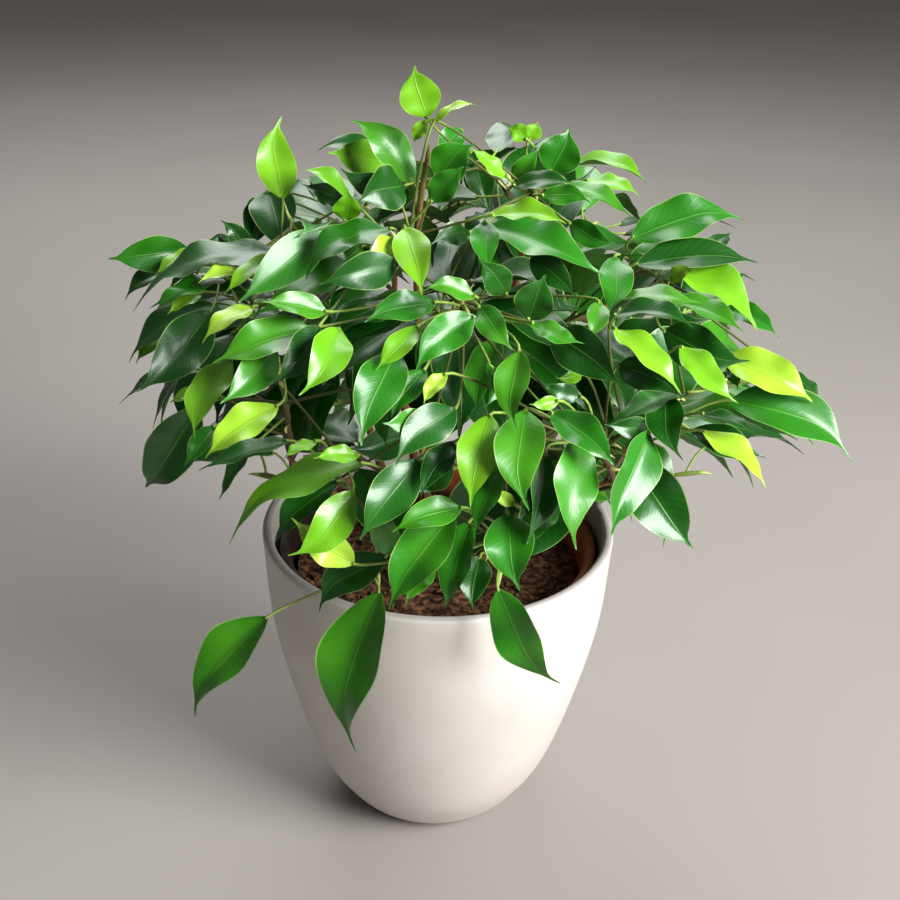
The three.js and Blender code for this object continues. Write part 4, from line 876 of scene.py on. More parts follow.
# Leaves seen from the front: the base and the tip of each in the view, how wide it looks
# there, its age, and the y of one that hangs clear of the pot or stands above the crown.
SEEN_LEAVES = [
    ((283, 200), (274, 115), 38, YOUNG, 0),
    ((268, 190), (282, 252), 45, DARK),
    ((250, 252), (222, 218), 20, DARK),
    ((250, 250), (197, 244), 16, DARK),
    ((190, 250), (107, 260), 35, MID),
    ((165, 255), (127, 265), 12, YOUNG),
    ((205, 252), (151, 274), 14, YOUNG),
    ((280, 252), (124, 298), 25, DARK),
    ((428, 119), (411, 65), 40, YOUNG, 0),
    ((433, 122), (477, 99), 8, PALE, 0),
    ((427, 119), (412, 144), 14, YOUNG, 0),
    ((415, 184), (352, 111), 35, MID, 4),
    ((385, 155), (316, 141), 20, DARK),
    ((385, 165), (330, 150), 36, YOUNG),
    ((350, 197), (304, 163), 14, YOUNG),
    ((345, 200), (302, 185), 22, DARK),
    ((405, 185), (355, 200), 45, DARK),
    ((345, 222), (349, 190), 28, YOUNG),
    ((437, 178), (471, 140), 40, MID),
    ((430, 203), (462, 165), 28, MID),
    ((508, 178), (471, 147), 15, YOUNG),
    ((470, 150), (490, 215), 28, DARK),
    ((392, 228), (295, 268), 30, DARK),
    ((328, 230), (238, 303), 50, MID),
    ((405, 226), (423, 293), 38, YOUNG),
    ((395, 232), (407, 213), 16, YOUNG),
    ((395, 238), (368, 262), 25, PALE),
    ((484, 220), (488, 270), 32, MID),
    ((490, 215), (568, 218), 18, YOUNG),
    ((485, 225), (605, 268), 38, MID),
    ((528, 140), (507, 125), 18, YOUNG, 8),
    ((528, 140), (539, 121), 18, YOUNG, 8),
    ((550, 173), (572, 128), 42, MID, 8),
    ((512, 182), (540, 148), 20, MID),
    ((512, 186), (575, 180), 18, DARK),
    ((563, 184), (633, 216), 16, MID),
    ((573, 163), (650, 178), 14, YOUNG),
    ((585, 180), (642, 192), 15, YOUNG),
    ((540, 195), (592, 198), 20, MID),
    ((568, 222), (615, 248), 24, MID),
    ((630, 238), (745, 206), 42, MID),
    ((634, 264), (760, 259), 36, DARK),
    ((660, 257), (766, 322), 35, YOUNG),
    ((690, 268), (743, 322), 14, YOUNG),
    ((668, 280), (695, 267), 16, PALE),
    ((615, 255), (611, 317), 34, MID),
    ((617, 298), (703, 302), 16, MID),
    ((612, 315), (698, 320), 18, DARK),
    ((668, 300), (746, 330), 20, MID),
    ((722, 308), (782, 335), 22, MID),
    ((662, 330), (748, 368), 45, DARK),
    ((680, 345), (735, 405), 28, YOUNG),
    ((722, 357), (820, 400), 38, PALE),
    ((780, 368), (825, 403), 12, DARK),
    ((728, 400), (857, 450), 48, MID),
    ((700, 413), (757, 431), 12, DARK),
    ((727, 366), (740, 388), 16, MID),
    ((702, 430), (772, 484), 24, PALE),
    ((690, 430), (766, 459), 28, DARK),
    ((665, 395), (674, 458), 38, DARK),
    ((690, 392), (604, 427), 18, MID),
    ((617, 365), (685, 393), 34, DARK),
    ((613, 328), (684, 392), 26, YOUNG),
    ((280, 254), (222, 292), 18, YOUNG),
    ((255, 306), (199, 341), 18, PALE),
    ((313, 328), (211, 363), 38, MID),
    ((328, 312), (262, 300), 25, MID),
    ((231, 358), (186, 435), 33, YOUNG),
    ((278, 348), (223, 405), 40, MID),
    ((279, 405), (201, 457), 34, PALE),
    ((200, 405), (141, 495), 50, DARK),
    ((215, 425), (184, 467), 20, MID),
    ((212, 310), (141, 395), 48, DARK),
    ((215, 303), (124, 357), 25, DARK),
    ((168, 328), (133, 362), 18, YOUNG),
    ((205, 370), (119, 397), 16, DARK),
    ((197, 388), (169, 403), 12, YOUNG),
    ((228, 278), (147, 307), 16, MID),
    ((240, 272), (197, 281), 12, PALE),
    ((203, 292), (166, 313), 14, YOUNG),
    ((320, 325), (276, 388), 35, DARK),
    ((290, 440), (196, 469), 18, DARK),
    ((250, 448), (220, 500), 14, DARK),
    ((340, 327), (307, 395), 40, YOUNG),
    ((420, 325), (376, 370), 25, YOUNG),
    ((437, 302), (363, 318), 30, MID),
    ((475, 315), (411, 367), 38, MID),
    ((398, 348), (357, 443), 48, MID),
    ((380, 392), (384, 447), 20, MID),
    ((426, 368), (386, 420), 28, MID),
    ((428, 420), (385, 425), 28, MID),
    ((447, 372), (421, 404), 17, PALE),
    ((400, 265), (320, 283), 38, DARK),
    ((362, 245), (345, 266), 22, MID),
    ((477, 297), (425, 283), 20, MID),
    ((478, 305), (512, 350), 28, MID),
    ((500, 335), (471, 413), 30, MID),
    ((488, 360), (490, 411), 14, MID),
    ((520, 348), (508, 428), 34, MID),
    ((528, 321), (545, 274), 40, DARK),
    ((508, 295), (480, 258), 30, DARK),
    ((530, 255), (577, 295), 30, DARK),
    ((600, 300), (591, 340), 22, MID),
    ((530, 322), (583, 346), 20, MID),
    ((550, 330), (622, 385), 45, DARK),
    ((583, 397), (540, 385), 20, DARK),
    ((583, 372), (558, 380), 14, YOUNG),
    ((560, 400), (530, 406), 14, YOUNG),
    ((550, 412), (618, 467), 34, MID),
    ((505, 395), (493, 362), 12, PALE),
    ((490, 413), (469, 508), 42, YOUNG),
    ((525, 408), (519, 510), 50, MID),
    ((503, 455), (471, 535), 30, MID),
    ((420, 458), (358, 540), 45, DARK),
    ((365, 462), (219, 527), 30, YOUNG),
    ((360, 455), (313, 457), 18, YOUNG),
    ((318, 440), (280, 456), 12, YOUNG),
    ((358, 492), (317, 438), 14, MID),
    ((355, 490), (296, 564), 40, YOUNG),
    ((355, 565), (290, 519), 34, PALE),
    ((340, 480), (270, 540), 30, DARK),
    ((388, 556), (310, 605), 38, DARK),
    ((390, 556), (378, 500), 28, MID),
    ((455, 510), (384, 608), 50, MID),
    ((463, 507), (391, 530), 30, MID),
    ((455, 440), (418, 495), 28, DARK),
    ((457, 408), (390, 460), 40, DARK),
    ((470, 520), (444, 612), 34, MID),
    ((435, 565), (402, 604), 22, MID),
    ((480, 555), (470, 610), 32, DARK),
    ((516, 505), (490, 490), 14, PALE),
    ((508, 512), (515, 592), 50, MID),
    ((560, 500), (508, 551), 28, MID),
    ((545, 450), (530, 545), 28, DARK),
    ((526, 480), (528, 520), 14, DARK),
    ((580, 435), (569, 548), 42, MID),
    ((650, 430), (606, 535), 40, MID),
    ((630, 460), (694, 552), 55, DARK),
    ((650, 430), (605, 425), 25, DARK),
    ((268, 616), (180, 712), 46, MID, -80),
    ((380, 590), (337, 751), 62, MID, -76),
    ((497, 588), (550, 692), 45, MID, -76),
]

# Leaves in the shade behind those, which close the view into the crown
SHADED_LEAVES = [
    ((404, 436), (350, 452), 36, DARK),
    ((270, 197), (247, 250), 34, DARK),
    ((454, 468), (406, 492), 28, DARK),
    ((396, 196), (338, 172), 24, DARK),
    ((470, 232), (430, 240), 24, DARK),
    ((172, 272), (121, 297), 16, DARK),
    ((462, 128), (436, 160), 24, MID),
]

# Places in the view where no hidden leaf shows: gaps at the edge of the crown and within it,
# and the rim of the pot
CLEAR_VIEWS = [
    [(658, 441), (690, 447), (746, 480), (742, 515), (704, 517), (668, 478)],
    [(742, 336), (790, 342), (828, 392), (806, 394), (746, 352)],
    [(152, 496), (166, 470), (212, 472), (220, 502), (180, 506)],
    [(224, 500), (236, 466), (284, 456), (284, 480), (242, 508)],
    [(248, 502), (290, 496), (290, 552), (258, 560)],
    [(590, 202), (620, 200), (616, 243), (600, 240)],
    [(624, 182), (655, 180), (660, 206), (636, 204)],
    [(548, 526), (588, 524), (584, 572), (550, 594)],
    [(688, 281), (726, 280), (724, 300), (690, 300)],
]

# How much longer a seen leaf may be than it looks, the least share of its width that shows
# and how strongly its face turns up
LEAST_STRETCH = 1.05
MOST_STRETCH = 1.32
LEAST_WIDTH_SEEN = 0.42
FACE_UP = 0.8
FRONT_LEAN = 2
SEEN_SEEDS = 1000


def seen_leaf(number, deeper):
    """A seen leaf in space: its base on the crown's inner shell, its tip towards the outer
    one, and rolled about its length until it looks as wide as it does in the view."""
    base, tip, wide, age, *front = (SEEN_LEAVES + SHADED_LEAVES)[number]
    to_base, to_tip = sight_line(base), sight_line(tip)
    if front:
        base_distance = (front[0] - EYE[1]) / to_base[1]
        wanted = (front[0] + FRONT_LEAN - EYE[1]) / to_tip[1]
    else:
        base_distance = shell_distance(to_base, BASE_SHELL * AGE_SHELL[age])
        wanted = shell_distance(to_tip, TIP_SHELL * AGE_SHELL[age])
    base_distance += deeper
    base_point = EYE + to_base * base_distance
    foot = to_tip @ (base_point - EYE)
    across = length_of(EYE + to_tip * foot - base_point)
    seen_width = wide * base_distance / FOCAL
    reach = min(max(seen_width / LEAF_ASPECT, LEAST_STRETCH * across), MOST_STRETCH * across)
    depth = math.sqrt(reach * reach - across * across)
    tip_point = EYE + to_tip * (foot + min(max(wanted + deeper - foot, -depth), depth))
    length = length_of(tip_point - base_point)
    axis = (tip_point - base_point) / length
    middle = (base_point + tip_point) / 2
    facing = square_to(unit(EYE - middle), axis)
    settled = square_to(unit((middle - CROWN_CENTRE) / CROWN_RADII) + FACE_UP * UP, axis)
    width = min(max(LEAF_ASPECT * length, seen_width), seen_width / LEAST_WIDTH_SEEN)
    roll = math.acos(min(seen_width / width, 1))
    over = cross(axis, facing)
    sense = -1 if over @ settled < 0 else 1
    chance = seeded(SEEN_SEEDS + number)
    return {
        "base": base_point,
        "tip": tip_point,
        "normal": facing * math.cos(roll) + over * (sense * math.sin(roll)),
        "width": width,
        "arch": length * (LEAST_ARCH + ARCH_CHANGE * next(chance)),
        "twist": MOST_TWIST * (next(chance) - 0.5),
        "age": age,
        "stations": SEEN_STATIONS,
    }


GOLDEN_ANGLE = math.pi * (3 - math.sqrt(5))
TO_EYE = unit(EYE - CROWN_CENTRE)
HIGHEST_END = 0.96
ENDS_DOWN = 1.35
TURNED_AWAY = 0.25


def rule_ends():
    """Ends for shoots inside the crown and at its sides and back, spread evenly over it."""
    ends = []
    for k in range(BACK_ENDS):
        height = HIGHEST_END - ENDS_DOWN * (k + 0.5) / BACK_ENDS
        level = math.sqrt(1 - height * height)
        around = k * GOLDEN_ANGLE
        direction = np.array([level * math.cos(around), level * math.sin(around), height])
        at_back = direction @ TO_EYE < TURNED_AWAY
        sizes = (BACK_SHELL, INNER_SHELL) if at_back else (INNER_SHELL,)
        ends += [CROWN_CENTRE + CROWN_RADII * direction * size for size in sizes]
    return [end for end in ends if is_inside(seen_at(end), OUTLINE)]


def spread_out(ends, count):
    """That many of the points, each the farthest from all those before it."""
    places = np.array(ends)
    nearest = np.full(len(places), np.inf)
    chosen = [int(np.argmax(places[:, 2]))]
    while len(chosen) < count:
        away = np.linalg.norm(places - places[chosen[-1]], axis=1)
        nearest = np.minimum(nearest, away)
        chosen.append(int(np.argmax(nearest)))
    return places[chosen]


STEM_SIDES = 5
STEM_SPANS = 6
STEM_BARE_TO = 118.0
STEM_STARTS = 4
STARTS_TRIED = 16
BENDS = [(0, 0.12), (0.15, 0.12), (-0.15, 0.12), (0, 0.28), (0.25, 0.2), (-0.25, 0.2)]
SHOOT_STEPS = 3
SHOOT_STOPS = 8
SHOOT_POINT = 4
EASY_SLOPE = 0.4
SLOPE_COST = 0.9


def climb(start, end):
    """How hard it is for a shoot to grow from a start on a stem to an end: how far it is,
    and how far above or below an easy slope."""
    flat = math.hypot(end[0] - start[0], end[1] - start[1])
    return length_of(start - end) + SLOPE_COST * abs(end[2] - start[2] - EASY_SLOPE * flat)


def shoot_bows(start, end, bend):
    """Control points of a shoot from a stem to just short of its end: it rises, then arches."""
    aside, rise = bend
    reach = end - start
    span = length_of(reach)
    tip = end - reach * (SHOOT_STOPS / span)
    sideways = unit(np.array([-reach[1], reach[0], 0.0]))
    return start, (start + tip) / 2 + UP * (rise * span) + sideways * (aside * span), tip


def bow_at(bows, t):
    """Points of a quadratic Bezier curve at the parameters t."""
    t = np.asarray(t, float)[:, None]
    start, middle, tip = bows
    return start * (1 - t) ** 2 + middle * (2 * t * (1 - t)) + tip * t ** 2


def shoot_body(line, grow=0.0):
    """Triangles of a shoot, swollen all round by grow."""
    rings = rod_sections(line, SHOOT_ROOT_RADIUS + grow, SHOOT_TIP_RADIUS + grow, SHOOT_SIDES)
    return loft(rings, line[-1] + unit(line[-1] - line[-2]) * SHOOT_POINT)


def rooted(bends):
    """The plain line of a stem: its foot in the soil, then evenly spaced points above."""
    foot = np.array([*bends[0][:2], STEM_FOOT_Z], float)
    return np.vstack([foot, smooth_through(bends, np.arange(STEM_SPANS + 1) / STEM_SPANS)])


crown = Crown()
stem_lines = [rooted(bends) for bends in STEMS]
for number, line in enumerate(stem_lines):
    stem_rings = rod_sections(line, STEM_FOOT_RADIUS, STEM_TOP_RADIUS, STEM_SIDES)
    crown.place(-1 - number, loft(stem_rings))


def stem_starts():
    """Where a shoot may leave the woody stems, with the number of the stem."""
    return [
        (stem, low + (high - low) * step / STEM_STARTS)
        for stem, line in enumerate(stem_lines)
        for low, high in zip(line[1:], line[2:])
        for step in range(STEM_STARTS)
        if (low + (high - low) * step / STEM_STARTS)[2] > STEM_BARE_TO
    ]


def grow_shoots():
    """One shoot to each end, along the easiest climb that crosses nothing."""
    starts = stem_starts()
    bases = [seen_leaf(number, 0)["base"] for number in range(len(SEEN_LEAVES))]
    grown = []
    for end in spread_out([*bases, *rule_ends()], SHOOT_COUNT):
        easiest = sorted(starts, key=lambda start: climb(start[1], end))[:STARTS_TRIED]
        for (stem, start), bend in [(start, bend) for start in easiest for bend in BENDS]:
            bows = shoot_bows(start, end, bend)
            line = bow_at(bows, np.arange(SHOOT_STEPS + 1) / SHOOT_STEPS)
            swollen = shoot_body(line, SHOOT_CLEARANCE)
            if crown.blocks(swollen, lambda owner: owner != -1 - stem) or meets_pots(swollen):
                continue
            crown.place(len(grown), shoot_body(line))
            grown.append({"number": len(grown), "bows": bows, "line": line, "leaves": []})
            break
    return grown


shoots = grow_shoots()

# Buds, where a leaf may spring from a shoot
PETIOLE_SHORTEST = 4.0
USED_BUD_COST = 7.0
LENGTH_COST = 1.3
AHEAD_GAIN = 0.4
BUD_PLACES = (0.3, 0.7)
MOST_BACKWARD = -0.25
buds = [
    {"shoot": shoot, "point": low + (high - low) * t, "used": 0}
    for shoot in shoots
    for low, high in zip(shoot["line"], shoot["line"][1:])
    for t in BUD_PLACES
]


def buds_for(leaf):
    """The buds that a leaf may spring from, the nearest behind its base first."""
    axis = unit(leaf["tip"] - leaf["base"])
    costs = []
    for bud in buds:
        reach = leaf["base"] - bud["point"]
        length = length_of(reach)
        ahead = (reach @ axis) / length
        if PETIOLE_SHORTEST < length < LONGEST_PETIOLE and ahead > MOST_BACKWARD:
            cost = length * (LENGTH_COST - AHEAD_GAIN * ahead) + USED_BUD_COST * bud["used"]
            costs.append((cost, bud))
    return [bud for _, bud in sorted(costs, key=lambda pair: pair[0])]


# The petiole may run beside its own shoot over this first part of its length
PETIOLE_FREE = 0.35
shadows = []


def leaf_shadow(leaf):
    """The outline of a leaf in the view."""
    edges = {-1: [], 1: []}
    for t in SEEN_STATIONS:
        point, _, side, _ = blade_frame(leaf, t)
        for sign in edges:
            edges[sign].append(seen_at(point + side * (sign * leaf["width"] * blade_width(t) / 2)))
    return [seen_at(leaf["base"]), *edges[-1], seen_at(leaf["tip"]), *edges[1][::-1]]


def stands(leaf, shoot, root):
    """Sets a leaf on a shoot if it crosses nothing there, and says whether it stands."""
    rooted = {**leaf, "root": root}
    whole = leaf_body(rooted, roomy)
    outer = leaf_body(rooted, roomy, PETIOLE_FREE)
    own = shoot["number"]
    clear = (
        not meets_pots(whole)
        and not crown.blocks(whole, lambda owner: owner != own)
        and not crown.blocks(outer, lambda owner: owner == own)
    )
    if clear:
        shoot["leaves"].append(rooted)
        shadows.append(leaf_shadow(rooted))
        crown.place(own, leaf_body(rooted))
    return clear


# The largest seen leaves take their places first. One that is in the way of another moves
# nearer or farther along its lines of sight, or springs from another bud.
DEEPER = (0, 3, -3, 6, -6, 10, -10, 15, -14, 20, 26, -18)
SHADED_DEEPER = (6, 10, 15, 20, 26, 33, 40, 48)
BUD_TRIES = 14


def seen_spread(number):
    """About how much of the view a seen leaf takes."""
    base, tip, wide, *_ = SEEN_LEAVES[number]
    return wide * math.hypot(tip[0] - base[0], tip[1] - base[1])


def place_seen(number, depths):
    """Sets a seen leaf at the first depth and on the first bud where it crosses nothing."""
    for deeper in depths:
        leaf = seen_leaf(number, deeper)
        for bud in buds_for(leaf)[:BUD_TRIES]:
            if stands(leaf, bud["shoot"], bud["point"]):
                bud["used"] += 1
                return


for number in sorted(range(len(SEEN_LEAVES)), key=lambda number: -seen_spread(number)):
    place_seen(number, DEEPER)
for number in range(len(SEEN_LEAVES), len(SEEN_LEAVES + SHADED_LEAVES)):
    place_seen(number, SHADED_DEEPER)

# Hidden leaves may spring from a shoot anywhere past its bare root
LEAF_SPACING = 5
NODES_PER_SHOOT = 22
TURN_TRIES = 12
BARE_ROOT = 9.0
FIRST_BACK = 2
NODE_TURN = 1.5
LEAST_STALK = 8
STALK_CHANGE = 6
ASPECT_CHANGE = 0.06
DARK_SHARE = 0.75
HIDDEN_WITHIN = (0.8, 0.92)
SIDE_FACING = 0.35
MOST_BEHIND = 0.6
BACK_ROOM = 0.3
STALK_AHEAD = 0.6
STALK_ASIDE = 0.8
LEAF_AHEAD = 0.7
LEAF_OUTWARD = 0.5
LEAST_HANG = -0.35
HANG_CHANGE = 0.3
FACE_OUTWARD = 0.5
FACE_SKYWARD = 0.9
FACE_ASIDE = 0.6
HIDDEN_SEED = 3


def back_from(line, back):
    """The place some way back from the end of a line, and the line's direction there."""
    rest = back
    for low, high in zip(line[-2::-1], line[:0:-1]):
        along = high - low
        length = length_of(along)
        if rest < length:
            return high - along * (rest / length), along / length
        rest -= length
    return None, None


def is_hidden(base, tip):
    """Whether a leaf lies behind the seen ones and within the crown's outline. It may stand
    farther out at the sides and the back."""
    for point, most in zip((base, tip), HIDDEN_WITHIN):
        offset = (point - CROWN_CENTRE) / CROWN_RADII
        size = length_of(offset)
        facing = (offset @ TO_EYE) / size
        limit = most + BACK_ROOM * min(max(SIDE_FACING - facing, 0), MOST_BEHIND)
        if size >= limit or not is_inside(seen_at(point), OUTLINE):
            return False
    return True


def hidden_leaf(shoot, back, turn, chance):
    """A leaf that springs from a shoot some way back from its tip and leans out and down."""
    root, along = back_from(shoot["line"], back)
    if root is None or length_of(root - shoot["line"][0]) < BARE_ROOT:
        return None
    across = square_to(UP, along)
    beside = cross(across, along)
    radial = across * math.cos(turn) + beside * math.sin(turn)
    reach = unit(along * STALK_AHEAD + radial * STALK_ASIDE)
    base = root + reach * (LEAST_STALK + STALK_CHANGE * next(chance))
    outward = unit((base - CROWN_CENTRE) / CROWN_RADII)
    hang = LEAST_HANG - HANG_CHANGE * next(chance)
    axis = unit(reach * LEAF_AHEAD + outward * LEAF_OUTWARD + UP * hang)
    length = SHORTEST_LEAF + (LONGEST_LEAF - SHORTEST_LEAF) * next(chance)
    aside = FACE_ASIDE * (next(chance) - 0.5)
    settled = outward * FACE_OUTWARD + UP * FACE_SKYWARD + beside * aside
    leaf = {
        "root": root,
        "base": base,
        "tip": base + axis * length,
        "normal": square_to(settled, axis),
        "width": length * (LEAF_ASPECT + ASPECT_CHANGE * (next(chance) - 0.5)),
        "arch": length * (LEAST_ARCH + ARCH_CHANGE * next(chance)),
        "twist": MOST_TWIST * (next(chance) - 0.5),
        "age": DARK if next(chance) < DARK_SHARE else MID,
        "stations": UNSEEN_STATIONS,
    }
    return leaf if is_hidden(leaf["base"], leaf["tip"]) else None


def leaves_views_clear(leaf):
    """Whether a leaf keeps out of the places where none may show."""
    corners = leaf_shadow(leaf)
    return not any(is_inside(corners, view).any() for view in CLEAR_VIEWS)


def spare_leaves():
    """Every hidden leaf that the shoots could carry, from the tips of the shoots inwards."""
    chance = seeded(HIDDEN_SEED)
    spares = []
    for node in range(NODES_PER_SHOOT):
        for shoot in shoots:
            for k in range(TURN_TRIES):
                turn = (node * NODE_TURN + k) * GOLDEN_ANGLE
                leaf = hidden_leaf(shoot, FIRST_BACK + node * LEAF_SPACING, turn, chance)
                if leaf and leaves_views_clear(leaf):
                    spares.append((leaf, shoot))
    return spares


# Those that cover most of the gaps in the view are set first, then any of them
GAP_STEP = 7
GAP_LOWEST = 545
GAP_SHARES = (12, 9, 7, 5, 4, 3, 2, 1, 0)
columns = np.arange(GAP_STEP, VIEW_SIZE, GAP_STEP)
rows = np.arange(GAP_STEP, GAP_LOWEST, GAP_STEP)
gaps = np.stack(np.meshgrid(columns, rows), axis=-1).reshape(-1, 2)
is_open = is_inside(gaps, OUTLINE)
for shadow in shadows:
    is_open &= ~is_inside(gaps, shadow)
spares = spare_leaves()
covered = [is_inside(gaps, leaf_shadow(leaf)) for leaf, _ in spares]
tried = set()
hidden_count = 0
for least in GAP_SHARES:
    for number, (leaf, shoot) in enumerate(spares):
        if number in tried or hidden_count == UNSEEN_LEAVES:
            continue
        if (covered[number] & is_open).sum() >= least:
            tried.add(number)
            if stands(leaf, shoot, leaf["root"]):
                hidden_count += 1
                is_open &= ~covered[number]

# Sprays
# A spray is a green shoot with its leaves. A leaf is a thin glossy blade, folded along its
# midrib, with a wavy margin and a drawn-out drip tip, on a slender stalk. New ones are lime
# green, old ones dark and leathery, and all have a fine pale margin.
BLADE_ROWS = 19
BLADE_HALF = 4
BLADE_ENDS = (0.01, 0.994)
BLADE_THICKNESS = 0.42
BLADE_WAVE = 0.062
LEAST_WAVES = 1.6
WAVES_CHANGE = 1.2
BLADE_TURN = 0.5
LEAST_FOLD = -0.3
FOLD_CHANGE = 1.6
BLADE_TRIES = 9
BLADE_NARROW = 0.84
BLADE_CROWDING = 0.9
EGG_END = 0.87
EGG_SWELL = 0.9
EGG_MOST = 0.2686
DRIP_WIDTH = 0.1
DRIP_FROM = 0.55
DRIP_GROWS = 0.3
DRIP_REACH = 0.45
DRIP_POINT = 0.12
TIP_SWEEP = 0.4
SWEEP_BACK = 0.35
SWEEP_BACK_BY = 0.7
LEAST_DROOP = 0.03
DROOP_CHANGE = 0.1
RIB_HEIGHT = 0.3
RIB_LOSS = 0.8
KEEL_GROWTH = 0.1
KEEL_SHARE = 0.6
LEAST_KEEL = 0.1
FOLD_CURVE = 1.2
WAVE_CURVE = 1.6
WAVE_APART = 2.2
PETIOLE_STEPS = 7
PETIOLE_ROUND = 6
PETIOLE_LENGTH = 13.0
PETIOLE_FRESH = 0.8
PETIOLE_BEND = 5.0
PETIOLE_LAP = 1.2
TWIG_AGE = 0.65
TWIG_FADE = 6.0
STALK_RADIUS = 0.42
STALK_SWELL = 0.25
SHOOT_RINGS = 24
SHOOT_ROUND = 7
SHOOT_SLIMMER = 0.66
SHOOT_FRESH = 0.85
WOODY_SHARE = 0.6
LEAF_KNOT = 0.3
KNOT_REACH = 1.6
MOST_KNOTS = 1.5
BUD_LONGEST = 8.0
LEAST_BUD = 0.4
BUD_CHANGE = 0.6
BUD_ASIDE = 0.7
BUD_RINGS = 2
BUD_REACH = np.array([0.25, 0.5, 0.75, 1.0])
BUD_RADII = (0.75, 0.62, 0.38, 0.06)
STIPULE_LENGTH = 6.5
LEAST_STIPULE = 0.6
STIPULE_CHANGE = 0.6
STIPULE_FOOT = 0.5
STIPULE_MIDDLE = (0.7, 0.4)
STIPULE_END = (0.5, 1.1)
STIPULE_RADII = np.array([0.35, 0.6, 0.6, 0.45, 0.25, 0.06])
STIPULE_ROUND = 5
BLADE_SEED = 21
LEAF_DARK = (14, 74, 8)
LEAF_MID = (37, 120, 12)
LEAF_YOUNG = (108, 174, 20)
LEAF_PALE = (162, 206, 52)
LEAF_MARGIN = (176, 212, 112)
LEAF_RIB = (120, 172, 70)
LEAF_UNDER = (88, 138, 54)
TWIG_OLD = (84, 64, 38)
TWIG_GREEN = (88, 106, 38)
PETIOLE_GREEN = (130, 160, 60)
STIPULE_PALE = (224, 222, 140)


def drip_width(t):
    """Width of the real blade, 1 at its widest: an egg shape that ends short of the tip,
    with a narrow drip tip that grows out of it and runs on to the end."""
    x = np.clip(t / EGG_END, 0, 1)
    egg = x ** EGG_SWELL * (1 - x) / EGG_MOST
    rise = np.clip((t - DRIP_FROM) / DRIP_GROWS, 0, 1)
    point = np.sqrt(np.clip((1 - t) / DRIP_POINT, 0, 1))
    return egg + DRIP_WIDTH * rise * rise * (3 - 2 * rise) * point


def blade(leaf, chance, life):
    """Corners, faces and blade coordinates of one leaf blade: at t along and u across, the
    arched centre line plus side * u * half width, raised from the keel to the margin with u,
    and waved near the margin. The tip sweeps aside and hangs by the square of the length
    past its start. The upper face runs back from the left margin to the right. A life of 0
    makes it narrower and leaves out the turn, the waves, the sweep and the droop."""
    t = np.linspace(*BLADE_ENDS, BLADE_ROWS) ** BLADE_CROWDING
    axis = leaf["tip"] - leaf["base"]
    length = length_of(axis)
    arch = 4 * leaf["arch"]
    centre = leaf["base"] + np.outer(t, axis) + np.outer(arch * t * (1 - t), leaf["normal"])
    along = axis + np.outer(arch * (1 - 2 * t), leaf["normal"])
    along /= np.linalg.norm(along, axis=1, keepdims=True)
    level = unit(cross(axis, leaf["normal"]))
    turned_tip = BLADE_TURN * life * (next(chance) - 0.5)
    turn = (leaf["twist"] * (t - TWIST_CENTRE) + turned_tip * t ** 2)[:, None]
    side = level * np.cos(turn) + cross(np.broadcast_to(level, along.shape), along) * np.sin(turn)
    upper = cross(side, along)
    half = leaf["width"] / 2 * drip_width(t) * (BLADE_NARROW + (1 - BLADE_NARROW) * life)
    fold = LEAF_FOLD * (1 + life * (FOLD_CHANGE * next(chance) + LEAST_FOLD))
    keel = np.minimum(LEAF_KEEL + KEEL_GROWTH * half, KEEL_SHARE * half + LEAST_KEEL)
    past = np.clip((t - DRIP_FROM) / DRIP_REACH, 0, 1) ** 2
    swept = life * length * TIP_SWEEP * (next(chance) - 0.5)
    sweep = swept * (past - SWEEP_BACK * np.clip(t / SWEEP_BACK_BY, 0, 1))
    droop = life * length * (LEAST_DROOP + DROOP_CHANGE * next(chance)) * past
    across = np.linspace(1, -1, 2 * BLADE_HALF + 1)
    u = np.concatenate([across, across[-2:0:-1]])
    under = np.concatenate([np.ones(len(across)), np.zeros(len(across) - 2)])
    under[[0, len(across) - 1]] = 0.5
    edge = np.abs(u)
    start = 2 * math.pi * next(chance)
    waves = LEAST_WAVES + WAVES_CHANGE * next(chance)
    wave = np.sin(2 * math.pi * waves * t[:, None] + start + WAVE_APART * (u < 0))
    wave = wave * edge ** WAVE_CURVE
    height = fold * half[:, None] * edge ** FOLD_CURVE - keel[:, None]
    height = height + BLADE_WAVE * life * length * (half / half.max())[:, None] * wave * 0.5
    skin = BLADE_THICKNESS / 2 * np.where(edge < 1, 1.0, 0.0) * (1 - 2 * under)
    rib = RIB_HEIGHT * (1 - RIB_LOSS * t)[:, None] * ((edge < 0.01) & (under > 0.9))
    height = height + skin * np.minimum(half / 2, 1)[:, None] - rib
    rings = (centre[:, None] + side[:, None] * ((half[:, None] * u) + sweep[:, None])[..., None]
             + upper[:, None] * (height - droop[:, None])[..., None])
    tip = leaf["tip"] + side[-1] * sweep[-1] - upper[-1] * droop[-1]
    corners, faces = wrapped(rings, leaf["base"], tip)
    marks = np.stack(np.broadcast_arrays(u, t[:, None], under), axis=-1).reshape(-1, 3)
    return corners, faces, np.vstack([marks, (0, 0, 0.5), (0, 1, 0.5)])


blades_set = []


def free_blade(leaf, chance):
    """A blade that keeps clear of those set before it. One that would cross them is drawn
    again with less life, up to the last of the tries, which stands as it is."""
    for life in np.linspace(1, 0, BLADE_TRIES):
        made = blade(leaf, chance, life)
        low, high = made[0].min(axis=0), made[0].max(axis=0)
        tree = BVHTree.FromPolygons(made[0].tolist(), made[1])
        near = [
            other for other, foot, head in blades_set
            if (foot < high).all() and (head > low).all()
        ]
        if not any(tree.overlap(other) for other in near):
            break
    blades_set.append((tree, low, high))
    return made


